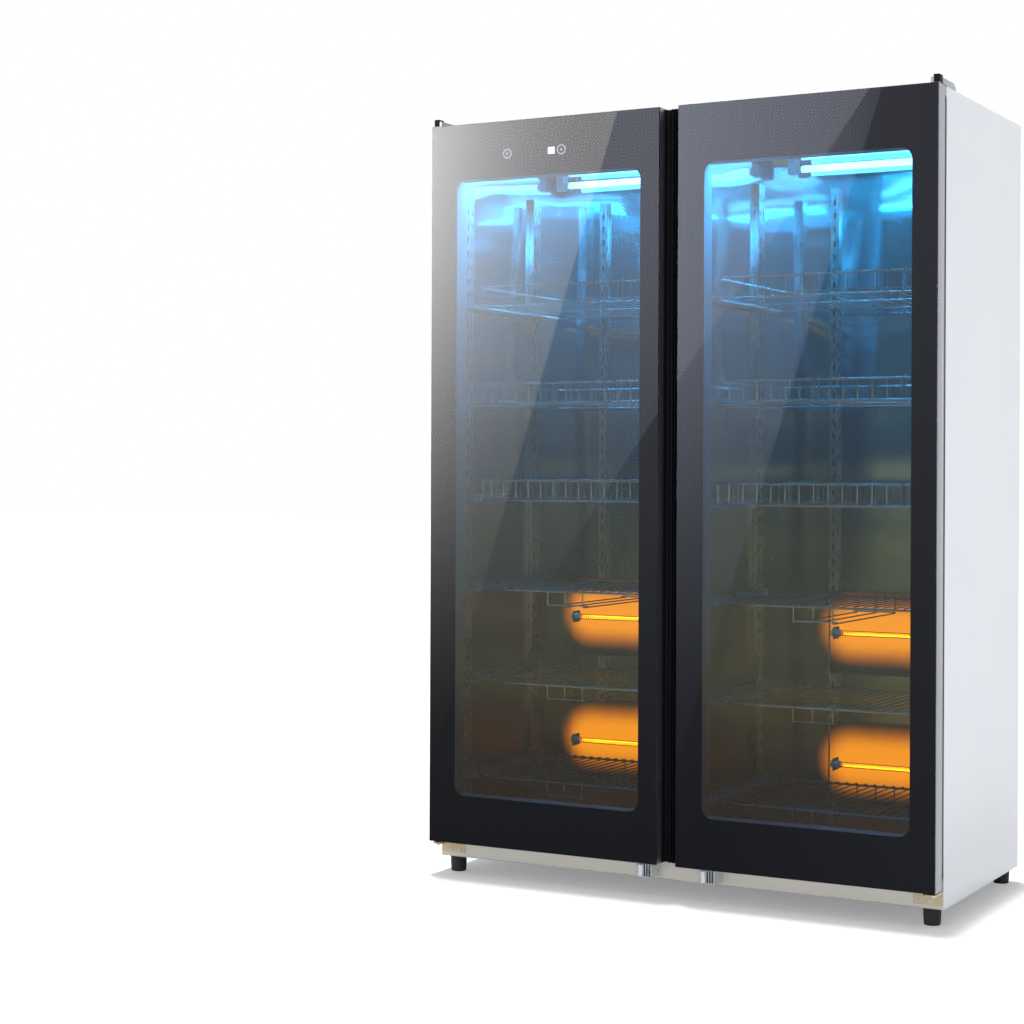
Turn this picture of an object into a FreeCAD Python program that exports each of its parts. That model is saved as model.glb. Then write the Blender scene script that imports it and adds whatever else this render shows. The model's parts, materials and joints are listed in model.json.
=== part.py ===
"""Two-door dish sterilizer cabinet, built from its separate pieces.

Millimetres, +Z up, doors facing -Y.  The origin is on the floor, at the centre
of the cabinet's width and of its depth.  Pieces that come in pairs are placed
by their distance from the centre line and a side: -1 is left, +1 is right.
"""
import FreeCAD, Part
import math
import os

from FreeCAD import Vector

# ---------------------------------------------------------------- driving sizes
WIDTH = 1180.0             # across both doors, and across the side panels
DEPTH = 600.0              # door glass to the rear edge of the side panels
FOOT_HEIGHT = 36.0         # rubber foot, floor to base panel
BODY_TOP = 1694.0          # top panel above the floor
DOOR_BOTTOM = 77.0         # lower edge of both doors above the floor
DOOR_TOP = 1695.0          # upper edge of both doors above the floor
DOOR_THICKNESS = 46.0      # glass face to the back of the door frame
DOOR_GAP = 44.0            # finger gap between the two panes of glass
GASKET_GAP = 10.0          # door back to the front of the cabinet
SHEET = 0.8                # casing steel
LINER = 0.6                # polished inner wall
WALL = 30.0                # outer skin to the inside of a bay
DIVIDER = 56.0             # wall between the two bays
FLOOR_Z = 137.0            # inside floor of a bay
CEILING_Z = 1637.0         # inside ceiling of a bay
BACK_INSIDE = 265.0        # inside back wall of a bay, along Y

HALF = WIDTH / 2
FRONT = -DEPTH / 2
REAR = DEPTH / 2
DOOR_BACK = FRONT + DOOR_THICKNESS
BODY_FRONT = DOOR_BACK + GASKET_GAP
BAY_INNER = DIVIDER / 2            # distance of a bay's inner wall from the centre
BAY_OUTER = HALF - WALL            # distance of a bay's outer wall from the centre
BACK_PANEL_Y = REAR - 16.0         # back panel, set in from the side panels' edge

# doors: (hinge side, grip side) margin of the clear window on each door
GLASS = 4.0
PRINT = 0.3
TUBE_WALL = 2.0
WINDOW_MARGIN = {-1: (65.0, 45.5), 1: (54.0, 60.0)}
WINDOW_BOTTOM = 185.0
WINDOW_TOP = 1570.0
WINDOW_CORNER = 25.0
PIVOT_D = 578.0
PIVOT_Y = FRONT + 20.0
PIN_R = 4.0
PIN_PLAY = 0.05
GRIP_DEPTH = 25.0
GASKET_WIDTH = 14.0

# racks: height of the front rail of each level, from the top down
BOWL_LEVELS = {-1: (1336.0, 1115.0, 895.0), 1: (1334.0, 1112.0, 891.0)}
PLATE_LEVELS = {-1: (646.0, 435.0, 217.0), 1: (633.0, 421.0, 205.0)}
RACK_INNER = 64.0
RACK_OUTER = 524.0
RACK_FRONT = -200.0
RACK_BACK = 190.0
BASKET_DEPTH = 45.0
SHELF_TRUSS = 34.0
FRAME_R = 2.5
WIRE_R = 1.5
BOWL_PITCH = 64.0
PLATE_WIRE_PITCH = 22.0
PIN_ABOVE_RAIL = 10.0
RUNNER_GAP = 0.3

# rack posts on the walls of a bay
POST_PROUD = 12.0
POST_WIDTH = 34.0
POST_FRONT_Y = -198.0
POST_REAR_Y = 125.0
BACK_POST_D = (168.0, 433.0)
BACK_POST_WIDTH = 20.0

# lamps and heaters
LAMP_R = 8.0
LAMP_D = (85.0, 526.0)
LAMP_Y = (-216.0, 230.0)
LAMP_Z = 1622.0
HEATER_Z = {-1: (558.0, 254.0), 1: (546.0, 243.0)}
HEATER_D = (198.0, 478.0)
HEATER_Y = 230.0
HEATER_R = 6.0
CERAMIC_R = 8.0
CERAMIC_LENGTH = 24.0
REFLECTOR_D = (164.0, 512.0)
REFLECTOR_HEIGHT = 190.0
REFLECTOR_Y = (247.0, 253.0)

# touch controls on the left door
TOUCH_Z = 1622.0
TOUCH_X = (-396.0, -260.0)
TOUCH_RING_R = 11.5
DISPLAY_X = (-293.0, -277.0)
DISPLAY_Z = (1614.0, 1629.0)

# feet and catches
FOOT_D = 559.0
FOOT_Y = (-220.0, 274.0)
FOOT_TOP_R = 19.0
FOOT_BOTTOM_R = 17.0
CATCH_D = {-1: 58.0, 1: 89.0}

SIDES = (-1, 1)
SIDE_NAME = {-1: "left", 1: "right"}
X_AXIS = Vector(1, 0, 0)
Y_AXIS = Vector(0, 1, 0)
Z_AXIS = Vector(0, 0, 1)


# ---------------------------------------------------------------- helpers
def box(x, y, z):
    """A block between two values on each axis."""
    return Part.makeBox(abs(x[1] - x[0]), abs(y[1] - y[0]), abs(z[1] - z[0]),
                        Vector(min(x), min(y), min(z)))


def span(side, near, far):
    """The X range between two distances from the centre line, on one side."""
    return (side * near, side * far)


def rod(start, end, radius):
    """A round bar between two points."""
    start = Vector(*start)
    run = Vector(*end) - start
    return Part.makeCylinder(radius, run.Length, start, run)


def prism(points, direction):
    """A closed outline carried along a direction."""
    corners = [Vector(*point) for point in points]
    return Part.Face(Part.makePolygon(corners + corners[:1])).extrude(Vector(*direction))


def rounded_plate(x, z, y, radius):
    """An upright plate, facing Y, with four rounded corners."""
    plate = box(x, y, z)
    return plate.makeFillet(radius, [e for e in plate.Edges if along(e, Y_AXIS)])


def along(edge, axis):
    """True for a straight edge that runs along an axis."""
    run = edge.Vertexes[-1].Point - edge.Vertexes[0].Point
    return run.Length > 0 and abs(run.normalize().dot(axis)) > 0.999


def tube(x, y, z, axis):
    """A square tube with thin walls, open at both ends along an axis."""
    inside = [x, y, z]
    for index, limits in enumerate((x, y, z)):
        if index != axis:
            inside[index] = (min(limits) + TUBE_WALL, max(limits) - TUBE_WALL)
    return box(x, y, z).cut(box(*inside))


def export(name, solids):
    """Write one node, one STEP file, from its separate solids."""
    shapes = solids if isinstance(solids, list) else [solids]
    Part.makeCompound(shapes).exportStep(os.path.join("parts", name + ".step"))
    print(name, len(shapes), "solids", round(sum(s.Volume for s in shapes) / 1000, 1), "cm3")


# ---------------------------------------------------------------- casing
def side_panel(side):
    """Folded side skin: outer wall with a front and a rear return."""
    outer = box(span(side, HALF - SHEET, HALF), (BODY_FRONT, REAR), (FOOT_HEIGHT, BODY_TOP))
    front = box(span(side, BAY_OUTER, HALF - SHEET), (BODY_FRONT, BODY_FRONT + SHEET),
                (FLOOR_Z, BODY_TOP))
    rear = box(span(side, HALF - 24, HALF - SHEET), (REAR - SHEET, REAR), (FOOT_HEIGHT, BODY_TOP))
    return outer.fuse([front, rear]).removeSplitter()


def flat_panel(z, holes):
    """Top or base sheet, between the side panels."""
    edge = HALF - SHEET
    sheet = box((-edge, edge), (BODY_FRONT + SHEET, REAR - SHEET), z)
    return sheet.cut(holes) if holes else sheet


def front_rail(z, reach, holes):
    """Channel across the front, with its flanges turned inwards."""
    edge = BAY_OUTER
    lip = 14.0
    back = BODY_FRONT + SHEET
    web = box((-reach, reach), (BODY_FRONT, back), z)
    low = box((-edge, edge), (back, back + lip), (z[0] + SHEET, z[0] + 2 * SHEET))
    high = box((-edge, edge), (back, back + lip), (z[1] - 2 * SHEET, z[1] - SHEET))
    rail = web.fuse([low, high]).removeSplitter()
    return rail.cut(holes) if holes else rail


def centre_post():
    """Channel that closes the front of the wall between the bays."""
    back = BODY_FRONT + SHEET
    z = (FLOOR_Z, CEILING_Z)
    web = box((-BAY_INNER, BAY_INNER), (BODY_FRONT, back), z)
    legs = [box(span(side, BAY_INNER - LINER - SHEET, BAY_INNER - LINER), (back, back + 20), z)
            for side in SIDES]
    return web.fuse(legs).removeSplitter()


def liner(side):
    """Five polished walls of one bay."""
    front = BODY_FRONT + SHEET
    inner, outer = BAY_INNER, BAY_OUTER
    tall = (FLOOR_Z, CEILING_Z)
    deep = (front, BACK_INSIDE)
    return [box(span(side, outer, outer + LINER), deep, tall),
            box(span(side, inner - LINER, inner), deep, tall),
            box(span(side, inner - LINER, outer + LINER), deep, (FLOOR_Z - LINER, FLOOR_Z)),
            box(span(side, inner - LINER, outer + LINER), deep, (CEILING_Z, CEILING_Z + LINER)),
            box(span(side, inner - LINER, outer + LINER), (BACK_INSIDE, BACK_INSIDE + LINER),
                (FLOOR_Z - LINER, CEILING_Z + LINER))]


def insulation():
    """Boards that fill the walls, the divider, the floor and the ceiling."""
    behind = BACK_PANEL_Y - 0.5
    inside = BACK_INSIDE + LINER + 0.5
    rail_back = BODY_FRONT + 22.0
    boards = [box(span(side, BAY_OUTER + LINER + 0.5, HALF - SHEET - 0.5),
                  (BODY_FRONT + SHEET + 0.5, behind), (60.0, BODY_TOP - 8))
              for side in SIDES]
    boards.append(box((-BAY_OUTER, BAY_OUTER), (inside, behind), (FLOOR_Z, BODY_TOP - 8)))
    boards.append(box((-BAY_INNER + LINER + 0.5, BAY_INNER - LINER - 0.5),
                      (rail_back, BACK_INSIDE), (FLOOR_Z, CEILING_Z)))
    boards.append(box((-BAY_OUTER, BAY_OUTER), (rail_back, BACK_INSIDE), (60.0, FLOOR_Z - 1.5)))
    boards.append(box((-BAY_OUTER, BAY_OUTER), (rail_back, BACK_INSIDE),
                      (CEILING_Z + 1.5, CEILING_Z + 12.0)))
    return boards


# ---------------------------------------------------------------- fasteners
def pan_screw(head, direction, length, radius=2.0):
    """A pan-head screw: the head stands on the surface, the shank goes in."""
    direction = Vector(*direction)
    start = Vector(*head)
    top = Part.makeCylinder(2 * radius, radius, start - direction * radius, direction)
    rim = [e for e in top.Edges if isinstance(e.Curve, Part.Circle)
           and (e.Curve.Center - start).Length > radius / 2]
    top = top.makeFillet(radius * 0.7, rim)
    cross = radius * 0.35
    across = Z_AXIS if abs(direction.dot(Z_AXIS)) < 0.5 else X_AXIS
    other = direction.cross(across)
    for wide, thin in ((across, other), (other, across)):
        corner = start - direction * radius - wide * radius - thin * cross
        slot = Part.Face(Part.makePolygon([
            corner, corner + wide * 2 * radius,
            corner + wide * 2 * radius + thin * 2 * cross, corner + thin * 2 * cross,
            corner])).extrude(direction * radius * 0.5)
        top = top.cut(slot)
    shank = Part.makeCylinder(radius, length, start, direction)
    return top.fuse(shank).removeSplitter()


def hinge_screw_places():
    """Bottom hinge screws, on the face of each bracket."""
    return [(side * d, BODY_FRONT - 3.0, 51.0) for side in SIDES for d in (537.5, 562.5)]


def catch_screw_places():
    """Catch screws, in the back plate of each catch housing."""
    return [(side * CATCH_D[side] + offset, BODY_FRONT - 1.5, 62.0)
            for side in SIDES for offset in (1.0, 11.0)]


def arm_screw_places():
    """Top hinge arm screws, on the flat of each arm."""
    return [(side * PIVOT_D, y, 1708.0) for side in SIDES for y in (-236.0, -212.0)]


def back_screw_places():
    """Back panel screws, in three rows."""
    return [(x, BACK_PANEL_Y + SHEET, z) for x in (-560.0, -190.0, 190.0, 560.0)
            for z in (70.0, 865.0, 1660.0)]


def foot_places():
    """Centre of each foot on the floor."""
    return [(side * FOOT_D, y) for side in SIDES for y in FOOT_Y]


def foot_bolt(x, y):
    """Bolt with its head in the foot and a nut on the base panel."""
    shank = rod((x, y, 12.0), (x, y, 56.0), 4.0)
    head = rod((x, y, 8.0), (x, y, 12.0), 7.5)
    hexagon = [(x + 7.5 * math.cos(math.radians(a)), y + 7.5 * math.sin(math.radians(a)),
                FOOT_HEIGHT + SHEET) for a in range(0, 360, 60)]
    nut = prism(hexagon, (0, 0, 6.5))
    return shank.fuse([head, nut]).removeSplitter()


def screws():
    """All the cabinet's screws and the foot bolts."""
    pieces = [pan_screw(p, (0, 1, 0), 8.0) for p in hinge_screw_places()]
    pieces += [pan_screw(p, (0, 1, 0), 7.0) for p in catch_screw_places()]
    pieces += [pan_screw(p, (0, 0, -1), 20.0) for p in arm_screw_places()]
    pieces += [pan_screw(p, (0, -1, 0), SHEET + 0.4) for p in back_screw_places()]
    pieces += [foot_bolt(*p) for p in foot_places()]
    return pieces


def shanks(places, direction, length, radius=2.0):
    """Round cutters for screw shanks."""
    return [Part.makeCylinder(radius, length, Vector(*p), Vector(*direction)) for p in places]


# ---------------------------------------------------------------- feet and cable gland
def foot(x, y):
    """Tapered rubber foot with a recess under the bolt head."""
    cone = Part.makeCone(FOOT_BOTTOM_R, FOOT_TOP_R, FOOT_HEIGHT, Vector(x, y, 0))
    rim = [e for e in cone.Edges if isinstance(e.Curve, Part.Circle)
           and e.Curve.Center.z < 1 and e.Curve.Radius < FOOT_TOP_R]
    cone = cone.makeFillet(1.5, rim)
    recess = rod((x, y, 0), (x, y, 12.0), 7.5)
    shaft = rod((x, y, 12.0), (x, y, FOOT_HEIGHT), 4.0)
    return cone.cut([recess, shaft])


GLAND_X = 470.0
GLAND_Z = 100.0
GLAND_R = 8.0


def cable_gland():
    """Gland for the supply cord in the back panel, empty."""
    outside = BACK_PANEL_Y + SHEET
    body = rod((GLAND_X, outside - 14, GLAND_Z), (GLAND_X, outside + 10, GLAND_Z), GLAND_R)
    collar = rod((GLAND_X, outside, GLAND_Z), (GLAND_X, outside + 4, GLAND_Z), GLAND_R + 4)
    nut = rod((GLAND_X, BACK_PANEL_Y - 5, GLAND_Z), (GLAND_X, BACK_PANEL_Y, GLAND_Z), GLAND_R + 4)
    bore = rod((GLAND_X, outside - 20, GLAND_Z), (GLAND_X, outside + 20, GLAND_Z), 4.5)
    return body.fuse([collar, nut]).removeSplitter().cut(bore)


# ---------------------------------------------------------------- hinges and catches
ARM_TOP = 1708.0
CAP_TOP = 1713.0
ARM_NOSE = 1697.0
TONGUE_Z = (70.0, 73.0)


def top_hinge_arm(side):
    """Arm screwed to the cabinet's top, reaching over the door's pivot."""
    nose, heel, tail = FRONT + 10, BODY_FRONT - 6, -185.0
    outline = [(nose, ARM_NOSE), (heel, ARM_NOSE), (heel, BODY_TOP + 1.2),
               (BODY_FRONT, BODY_TOP + 1.2),
               (BODY_FRONT, BODY_TOP), (tail, BODY_TOP), (tail, BODY_TOP + 5),
               (tail - 14, ARM_TOP), (nose, ARM_TOP)]
    near = side * (PIVOT_D - 7)
    arm = prism([(near, y, z) for y, z in outline], (side * 19, 0, 0))
    relief = box(span(side, HALF - 1.5, HALF + 1), (nose - 1, PIVOT_Y + 11), (ARM_NOSE, ARM_TOP))
    pin_hole = rod((side * PIVOT_D, PIVOT_Y, ARM_NOSE - 5), (side * PIVOT_D, PIVOT_Y, ARM_TOP + 5),
                   PIN_R)
    return arm.cut([pin_hole, relief] + shanks(arm_screw_places(), (0, 0, -1), 20.0))


def top_hinge_cap(side):
    """Plastic cap over the arm's nose."""
    outer = box(span(side, PIVOT_D - 8.5, HALF), (FRONT + 8, PIVOT_Y + 11),
                (ARM_NOSE + 0.5, CAP_TOP))
    outer = outer.makeFillet(1.5, [e for e in outer.Edges if e.BoundBox.ZMin > CAP_TOP - 0.1])
    inner = box(span(side, PIVOT_D - 7, HALF - 1.5), (FRONT + 10, PIVOT_Y + 12),
                (ARM_NOSE, ARM_TOP + 2))
    return outer.cut(inner)


def hinge_pins():
    """Four pivot pins: headed ones at the top, plain ones at the bottom."""
    pins = []
    for side in SIDES:
        x = side * PIVOT_D
        pins.append(rod((x, PIVOT_Y, DOOR_TOP - 14), (x, PIVOT_Y, ARM_TOP + 1), PIN_R))
        pins.append(rod((x, PIVOT_Y, TONGUE_Z[0] - 4), (x, PIVOT_Y, DOOR_BOTTOM + 14), PIN_R))
    return pins


def bottom_hinge_bracket(side):
    """Folded bracket on the bottom rail, with a tongue under the door."""
    plate = box(span(side, 528, 588), (BODY_FRONT - 3, BODY_FRONT), (44.0, TONGUE_Z[1]))
    tongue = box(span(side, 560, 588), (FRONT + 8, BODY_FRONT - 3), TONGUE_Z)
    corners = [e for e in tongue.Edges if along(e, Z_AXIS) and e.BoundBox.YMax < FRONT + 9]
    tongue = tongue.makeFillet(8.0, corners)
    pin_hole = rod((side * PIVOT_D, PIVOT_Y, 60), (side * PIVOT_D, PIVOT_Y, 80), PIN_R)
    bracket = plate.fuse(tongue).removeSplitter()
    return bracket.cut([pin_hole] + shanks(hinge_screw_places(), (0, 1, 0), 10.0))


def catch_housing(side):
    """Bright holder under the door edge: a round nose beside the magnet's seat."""
    x = side * CATCH_D[side]
    sheet = 1.5
    front = FRONT + 12
    back = box((x - 19, x + 19), (BODY_FRONT - sheet, BODY_FRONT), (42.0, 71.0))
    floor = box((x - 11, x + 19), (front, BODY_FRONT - sheet), (46.0, 46.0 + sheet))
    cheek = box((x + 19 - sheet, x + 19), (front, BODY_FRONT - sheet), (46.0, 71.0))
    nose = rod((x - 11, front + 8, 46.0), (x - 11, front + 8, 71.0), 8.0)
    neck = box((x - 15, x - 7), (front + 8, BODY_FRONT - sheet), (46.0, 71.0))
    housing = back.fuse([floor, cheek, nose, neck]).removeSplitter()
    return housing.cut(shanks(catch_screw_places(), (0, 1, 0), 5.0))


def catch_magnet(side):
    """Magnet block standing in its housing, just under the door's strike."""
    x = side * CATCH_D[side]
    return box((x - 2.5, x + 17), (FRONT + 14, FRONT + 44), (47.5, 74.3))


def strike(side):
    """Steel plate under the door that the magnet holds."""
    x = side * CATCH_D[side]
    return box((x - 17, x + 17), (FRONT + 13, FRONT + 43), (DOOR_BOTTOM - 1.7, DOOR_BOTTOM))


# ---------------------------------------------------------------- lamps and heaters
def uv_lamps():
    """Two glass tubes in each bay, front and rear, under the ceiling."""
    near, far = LAMP_D
    return [rod((side * near, y, LAMP_Z), (side * far, y, LAMP_Z), LAMP_R)
            for side in SIDES for y in LAMP_Y]


def lampholders():
    """Two holders for each tube, hanging from the bays' ceilings."""
    blocks = []
    for side, y in [(side, y) for side in SIDES for y in LAMP_Y]:
        for near, far in ((LAMP_D[0] - 20, LAMP_D[0]), (LAMP_D[1], LAMP_D[1] + 20)):
            block = box(span(side, near, far), (y - 14, y + 14), (1610.0, CEILING_Z))
            low = [e for e in block.Edges if along(e, X_AXIS) and e.BoundBox.ZMax < 1611]
            blocks.append(block.makeFillet(8.0, low))
    return blocks


def heater_places():
    """Side and height of each heater."""
    return [(side, z) for side in SIDES for z in HEATER_Z[side]]


def heater_tubes():
    """Quartz tubes."""
    near, far = HEATER_D
    return [rod((side * near, HEATER_Y, z), (side * far, HEATER_Y, z), HEATER_R)
            for side, z in heater_places()]


def heater_ends():
    """Ceramic caps on the ends of the quartz tubes."""
    caps = []
    for side, z in heater_places():
        for near, far in ((HEATER_D[0] - CERAMIC_LENGTH, HEATER_D[0]),
                          (HEATER_D[1], HEATER_D[1] + CERAMIC_LENGTH)):
            caps.append(rod((side * near, HEATER_Y, z), (side * far, HEATER_Y, z), CERAMIC_R))
    return caps


def heater_brackets():
    """Plates that stand on the reflector and hold the ceramic caps."""
    plates = []
    for side, z in heater_places():
        for middle in (HEATER_D[0] - 15, HEATER_D[1] + 15):
            plate = box(span(side, middle - 1, middle + 1), (HEATER_Y - 15, REFLECTOR_Y[1] - 1),
                        (z - 14, z + 14))
            hole = rod((side * (middle - 5), HEATER_Y, z), (side * (middle + 5), HEATER_Y, z),
                       CERAMIC_R)
            plates.append(plate.cut(hole))
    return plates


def heater_reflectors():
    """Shallow trays behind the heaters."""
    trays = []
    half = REFLECTOR_HEIGHT / 2
    for side, z in heater_places():
        tray = box(span(side, *REFLECTOR_D), REFLECTOR_Y, (z - half, z + half))
        inside = box(span(side, REFLECTOR_D[0] + 1, REFLECTOR_D[1] - 1),
                     (REFLECTOR_Y[0] - 1, REFLECTOR_Y[1] - 1), (z - half + 1, z + half - 1))
        trays.append(tray.cut(inside))
    return trays


def temperature_sensors():
    """One probe through a side wall of each bay."""
    probes = []
    for x, direction, y, z in ((-BAY_OUTER, 1, 68.0, 735.0), (BAY_INNER, 1, 200.0, 715.0)):
        stem = rod((x, y, z), (x + direction * 9, y, z), 3.5)
        tip = Part.makeSphere(3.5, Vector(x + direction * 9, y, z))
        probes.append(stem.fuse(tip).removeSplitter())
    return probes


def electrics():
    """Ballast for each lamp and the power board, in the space over the bays."""
    floor = CEILING_Z + 12.0
    ballasts = [box(span(side, 200, 350), (y, y + 42.0), (floor, floor + 28))
                for side in SIDES for y in (30.0, 100.0)]
    board = box((-75, 75), (-180.0, -70.0), (floor + 6, floor + 7.6))
    parts = [box((-60, -25), (-160.0, -120.0), (floor + 7.6, floor + 30)),
             box((0, 22), (-165.0, -140.0), (floor + 7.6, floor + 24)),
             box((35, 57), (-165.0, -140.0), (floor + 7.6, floor + 24)),
             box((-60, 60), (-95.0, -82.0), (floor + 7.6, floor + 20))]
    feet = [rod((x, y, floor), (x, y, floor + 6), 4.0) for x in (-68, 68) for y in (-173, -77)]
    return ballasts, [board.fuse(parts + feet).removeSplitter()]


# ---------------------------------------------------------------- posts, runners and racks
def rack_posts():
    """Upright channels on the side and back walls of both bays."""
    posts = []
    thin = SHEET
    z = (FLOOR_Z + 8, CEILING_Z - 60)
    for side in SIDES:
        for wall, inward in ((BAY_OUTER, -1), (BAY_INNER, 1)):
            face = wall + inward * POST_PROUD
            for middle in (POST_FRONT_Y, POST_REAR_Y):
                y = (middle - POST_WIDTH / 2, middle + POST_WIDTH / 2)
                block = box(span(side, wall, face), y, z)
                hollow = box(span(side, wall, face - inward * thin), (y[0] + thin, y[1] - thin), z)
                posts.append(block.cut(hollow))
        for middle in BACK_POST_D:
            near, far = middle - BACK_POST_WIDTH / 2, middle + BACK_POST_WIDTH / 2
            y = (BACK_INSIDE - POST_PROUD, BACK_INSIDE)
            block = box(span(side, near, far), y, z)
            hollow = box(span(side, near + thin, far - thin), (y[0] + thin, y[1]), z)
            posts.append(block.cut(hollow))
    return posts


def level_places(side):
    """Kind, rail height and height of the lowest frame wire of each rack."""
    bowls = [("bowl", z, z - BASKET_DEPTH) for z in BOWL_LEVELS[side]]
    plates = [("plate", z, z) for z in PLATE_LEVELS[side]]
    return bowls + plates


def rack_runners(side):
    """Angle rails on the posts of one bay; each is an upright and a flat leg."""
    legs = []
    thin = 1.5
    y = (POST_FRONT_Y - 24, POST_REAR_Y + 40)
    for _, _, base in level_places(side):
        seat = base - FRAME_R - RUNNER_GAP
        for wall, inward, edge in ((BAY_OUTER, -1, RACK_OUTER), (BAY_INNER, 1, RACK_INNER)):
            face = wall + inward * POST_PROUD
            legs.append(box(span(side, face, face + inward * thin), y, (seat - thin, seat + 16)))
            legs.append(box(span(side, face + inward * thin, edge + inward * 8), y,
                            (seat - thin, seat)))
    return legs


def centred(middle, pitch, half_width):
    """Evenly spaced places either side of a middle."""
    count = int(half_width // pitch)
    return [middle + pitch * i for i in range(-count, count + 1)]


def wire_frame(side, z):
    """A rectangle of thick wire at one height."""
    near, far = RACK_INNER, RACK_OUTER
    wires = [rod((side * near, y, z), (side * far, y, z), FRAME_R)
             for y in (RACK_FRONT, RACK_BACK)]
    ends = (RACK_FRONT + FRAME_R, RACK_BACK - FRAME_R)
    wires += [rod((side * d, ends[0], z), (side * d, ends[1], z), FRAME_R)
              for d in (near + FRAME_R, far - FRAME_R)]
    return wires


def bowl_rack(side, rail, base):
    """Basket with a row of upright pins behind the front rail and one halfway."""
    middle = (RACK_INNER + RACK_OUTER) / 2
    half = (RACK_OUTER - RACK_INNER) / 2 - 8
    wires = wire_frame(side, rail) + wire_frame(side, base)
    lift = FRAME_R + WIRE_R
    gap = (base + FRAME_R, rail - FRAME_R)
    for d in (RACK_INNER + FRAME_R, RACK_OUTER - FRAME_R):
        for y in (RACK_FRONT + 6, -70.0, 60.0, RACK_BACK - 6):
            wires.append(rod((side * d, y, gap[0]), (side * d, y, gap[1]), FRAME_R))
    for d in centred(middle, BOWL_PITCH / 2, half):
        front, back = RACK_FRONT - lift, RACK_BACK + lift
        wires.append(rod((side * d, front, base), (side * d, front, rail), WIRE_R))
        wires.append(rod((side * d, RACK_FRONT, base + lift), (side * d, RACK_BACK, base + lift),
                         WIRE_R))
        wires.append(rod((side * d, back, base), (side * d, back, rail), WIRE_R))
    for d in centred(middle, BOWL_PITCH, half):
        for y in (RACK_FRONT + 20, (RACK_FRONT + RACK_BACK) / 2):
            wires.append(rod((side * d, y, base + lift + WIRE_R),
                             (side * d, y, rail + PIN_ABOVE_RAIL), WIRE_R))
    y = (RACK_FRONT + RACK_BACK) / 2
    wires.append(rod((side * (RACK_INNER + 2 * FRAME_R), y, base + lift - 2 * WIRE_R),
                     (side * (RACK_OUTER - 2 * FRAME_R), y, base + lift - 2 * WIRE_R), WIRE_R))
    return wires


def plate_shelf(side, rail):
    """Flat shelf of close wires with a stiffening truss under its middle."""
    middle = (RACK_INNER + RACK_OUTER) / 2
    half = (RACK_OUTER - RACK_INNER) / 2 - 8
    lift = FRAME_R + WIRE_R
    wires = wire_frame(side, rail)
    for d in centred(middle, PLATE_WIRE_PITCH, half):
        wires.append(rod((side * d, RACK_FRONT, rail + lift), (side * d, RACK_BACK, rail + lift),
                         WIRE_R))
    low = rail - SHELF_TRUSS
    for d in centred(middle, 2 * PLATE_WIRE_PITCH, 50.0):
        for y in (RACK_FRONT - lift, RACK_BACK + lift):
            wires.append(rod((side * d, y, low), (side * d, y, rail), WIRE_R))
        wires.append(rod((side * d, RACK_FRONT - lift + WIRE_R, low),
                         (side * d, RACK_BACK + lift - WIRE_R, low), WIRE_R))
    for y in (RACK_FRONT + 10, RACK_BACK - 10):
        wires.append(rod((side * (middle - 50), y, low + 2 * WIRE_R),
                         (side * (middle + 50), y, low + 2 * WIRE_R), WIRE_R))
    return wires


# ---------------------------------------------------------------- doors
def door_limits(side):
    """Distances from the centre line of the pane's and the window's edges."""
    hinge, grip = WINDOW_MARGIN[side]
    edge = DOOR_GAP / 2
    return edge, edge + grip, HALF - hinge, HALF


def window(side, y):
    """The clear part of the pane, as a cutter."""
    _, near, far, _ = door_limits(side)
    return rounded_plate(span(side, near, far), (WINDOW_BOTTOM, WINDOW_TOP), y, WINDOW_CORNER)


def door_glass(side):
    """One full-size pane."""
    edge, _, _, outer = door_limits(side)
    pane = box(span(side, edge, outer), (FRONT, FRONT + GLASS), (DOOR_BOTTOM, DOOR_TOP))
    rim = [e for e in pane.Edges if e.BoundBox.YMax < FRONT + 0.1]
    return pane.makeChamfer(0.6, rim)


def touch_marks():
    """Rings with a centre dot, printed on the back of the left pane."""
    y = (FRONT + GLASS, FRONT + GLASS + PRINT)
    marks = []
    for x in TOUCH_X:
        ring = rod((x, y[0], TOUCH_Z), (x, y[1], TOUCH_Z), TOUCH_RING_R)
        marks.append(ring.cut(rod((x, y[0], TOUCH_Z), (x, y[1], TOUCH_Z), TOUCH_RING_R - 1.0)))
        marks.append(rod((x, y[0], TOUCH_Z), (x, y[1], TOUCH_Z), 2.2))
    return marks


def display():
    """Lit part of the display, seen through the print."""
    return box(DISPLAY_X, (FRONT + GLASS, FRONT + GLASS + PRINT), DISPLAY_Z)


def door_border(side):
    """Black print round the window, on the back of the pane."""
    edge, _, _, outer = door_limits(side)
    y = (FRONT + GLASS, FRONT + GLASS + PRINT)
    border = box(span(side, edge, outer), y, (DOOR_BOTTOM, DOOR_TOP))
    cutters = [window(side, y)]
    if side < 0:
        cutters += touch_marks() + [display()]
    return border.cut(cutters)


def touch_module():
    """Key and display module behind the print, in the door's top rail."""
    y = FRONT + GLASS + PRINT
    return box((-412, -244), (y, y + 12), (TOUCH_Z - 18, TOUCH_Z + 18))


def door_frame(side):
    """Two full-height stiles and two deep rails, all thin-walled tube."""
    edge, near, far, outer = door_limits(side)
    y = (FRONT + GLASS + PRINT, DOOR_BACK)
    top = tube(span(side, near, far), y, (WINDOW_TOP, DOOR_TOP), 0)
    if side < 0:
        top = top.cut(touch_module())
    return [tube(span(side, far, outer), y, (DOOR_BOTTOM, DOOR_TOP), 2),
            tube(span(side, edge, near), y, (DOOR_BOTTOM, DOOR_TOP), 2),
            top,
            tube(span(side, near, far), y, (DOOR_BOTTOM, WINDOW_BOTTOM), 0)]


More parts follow.
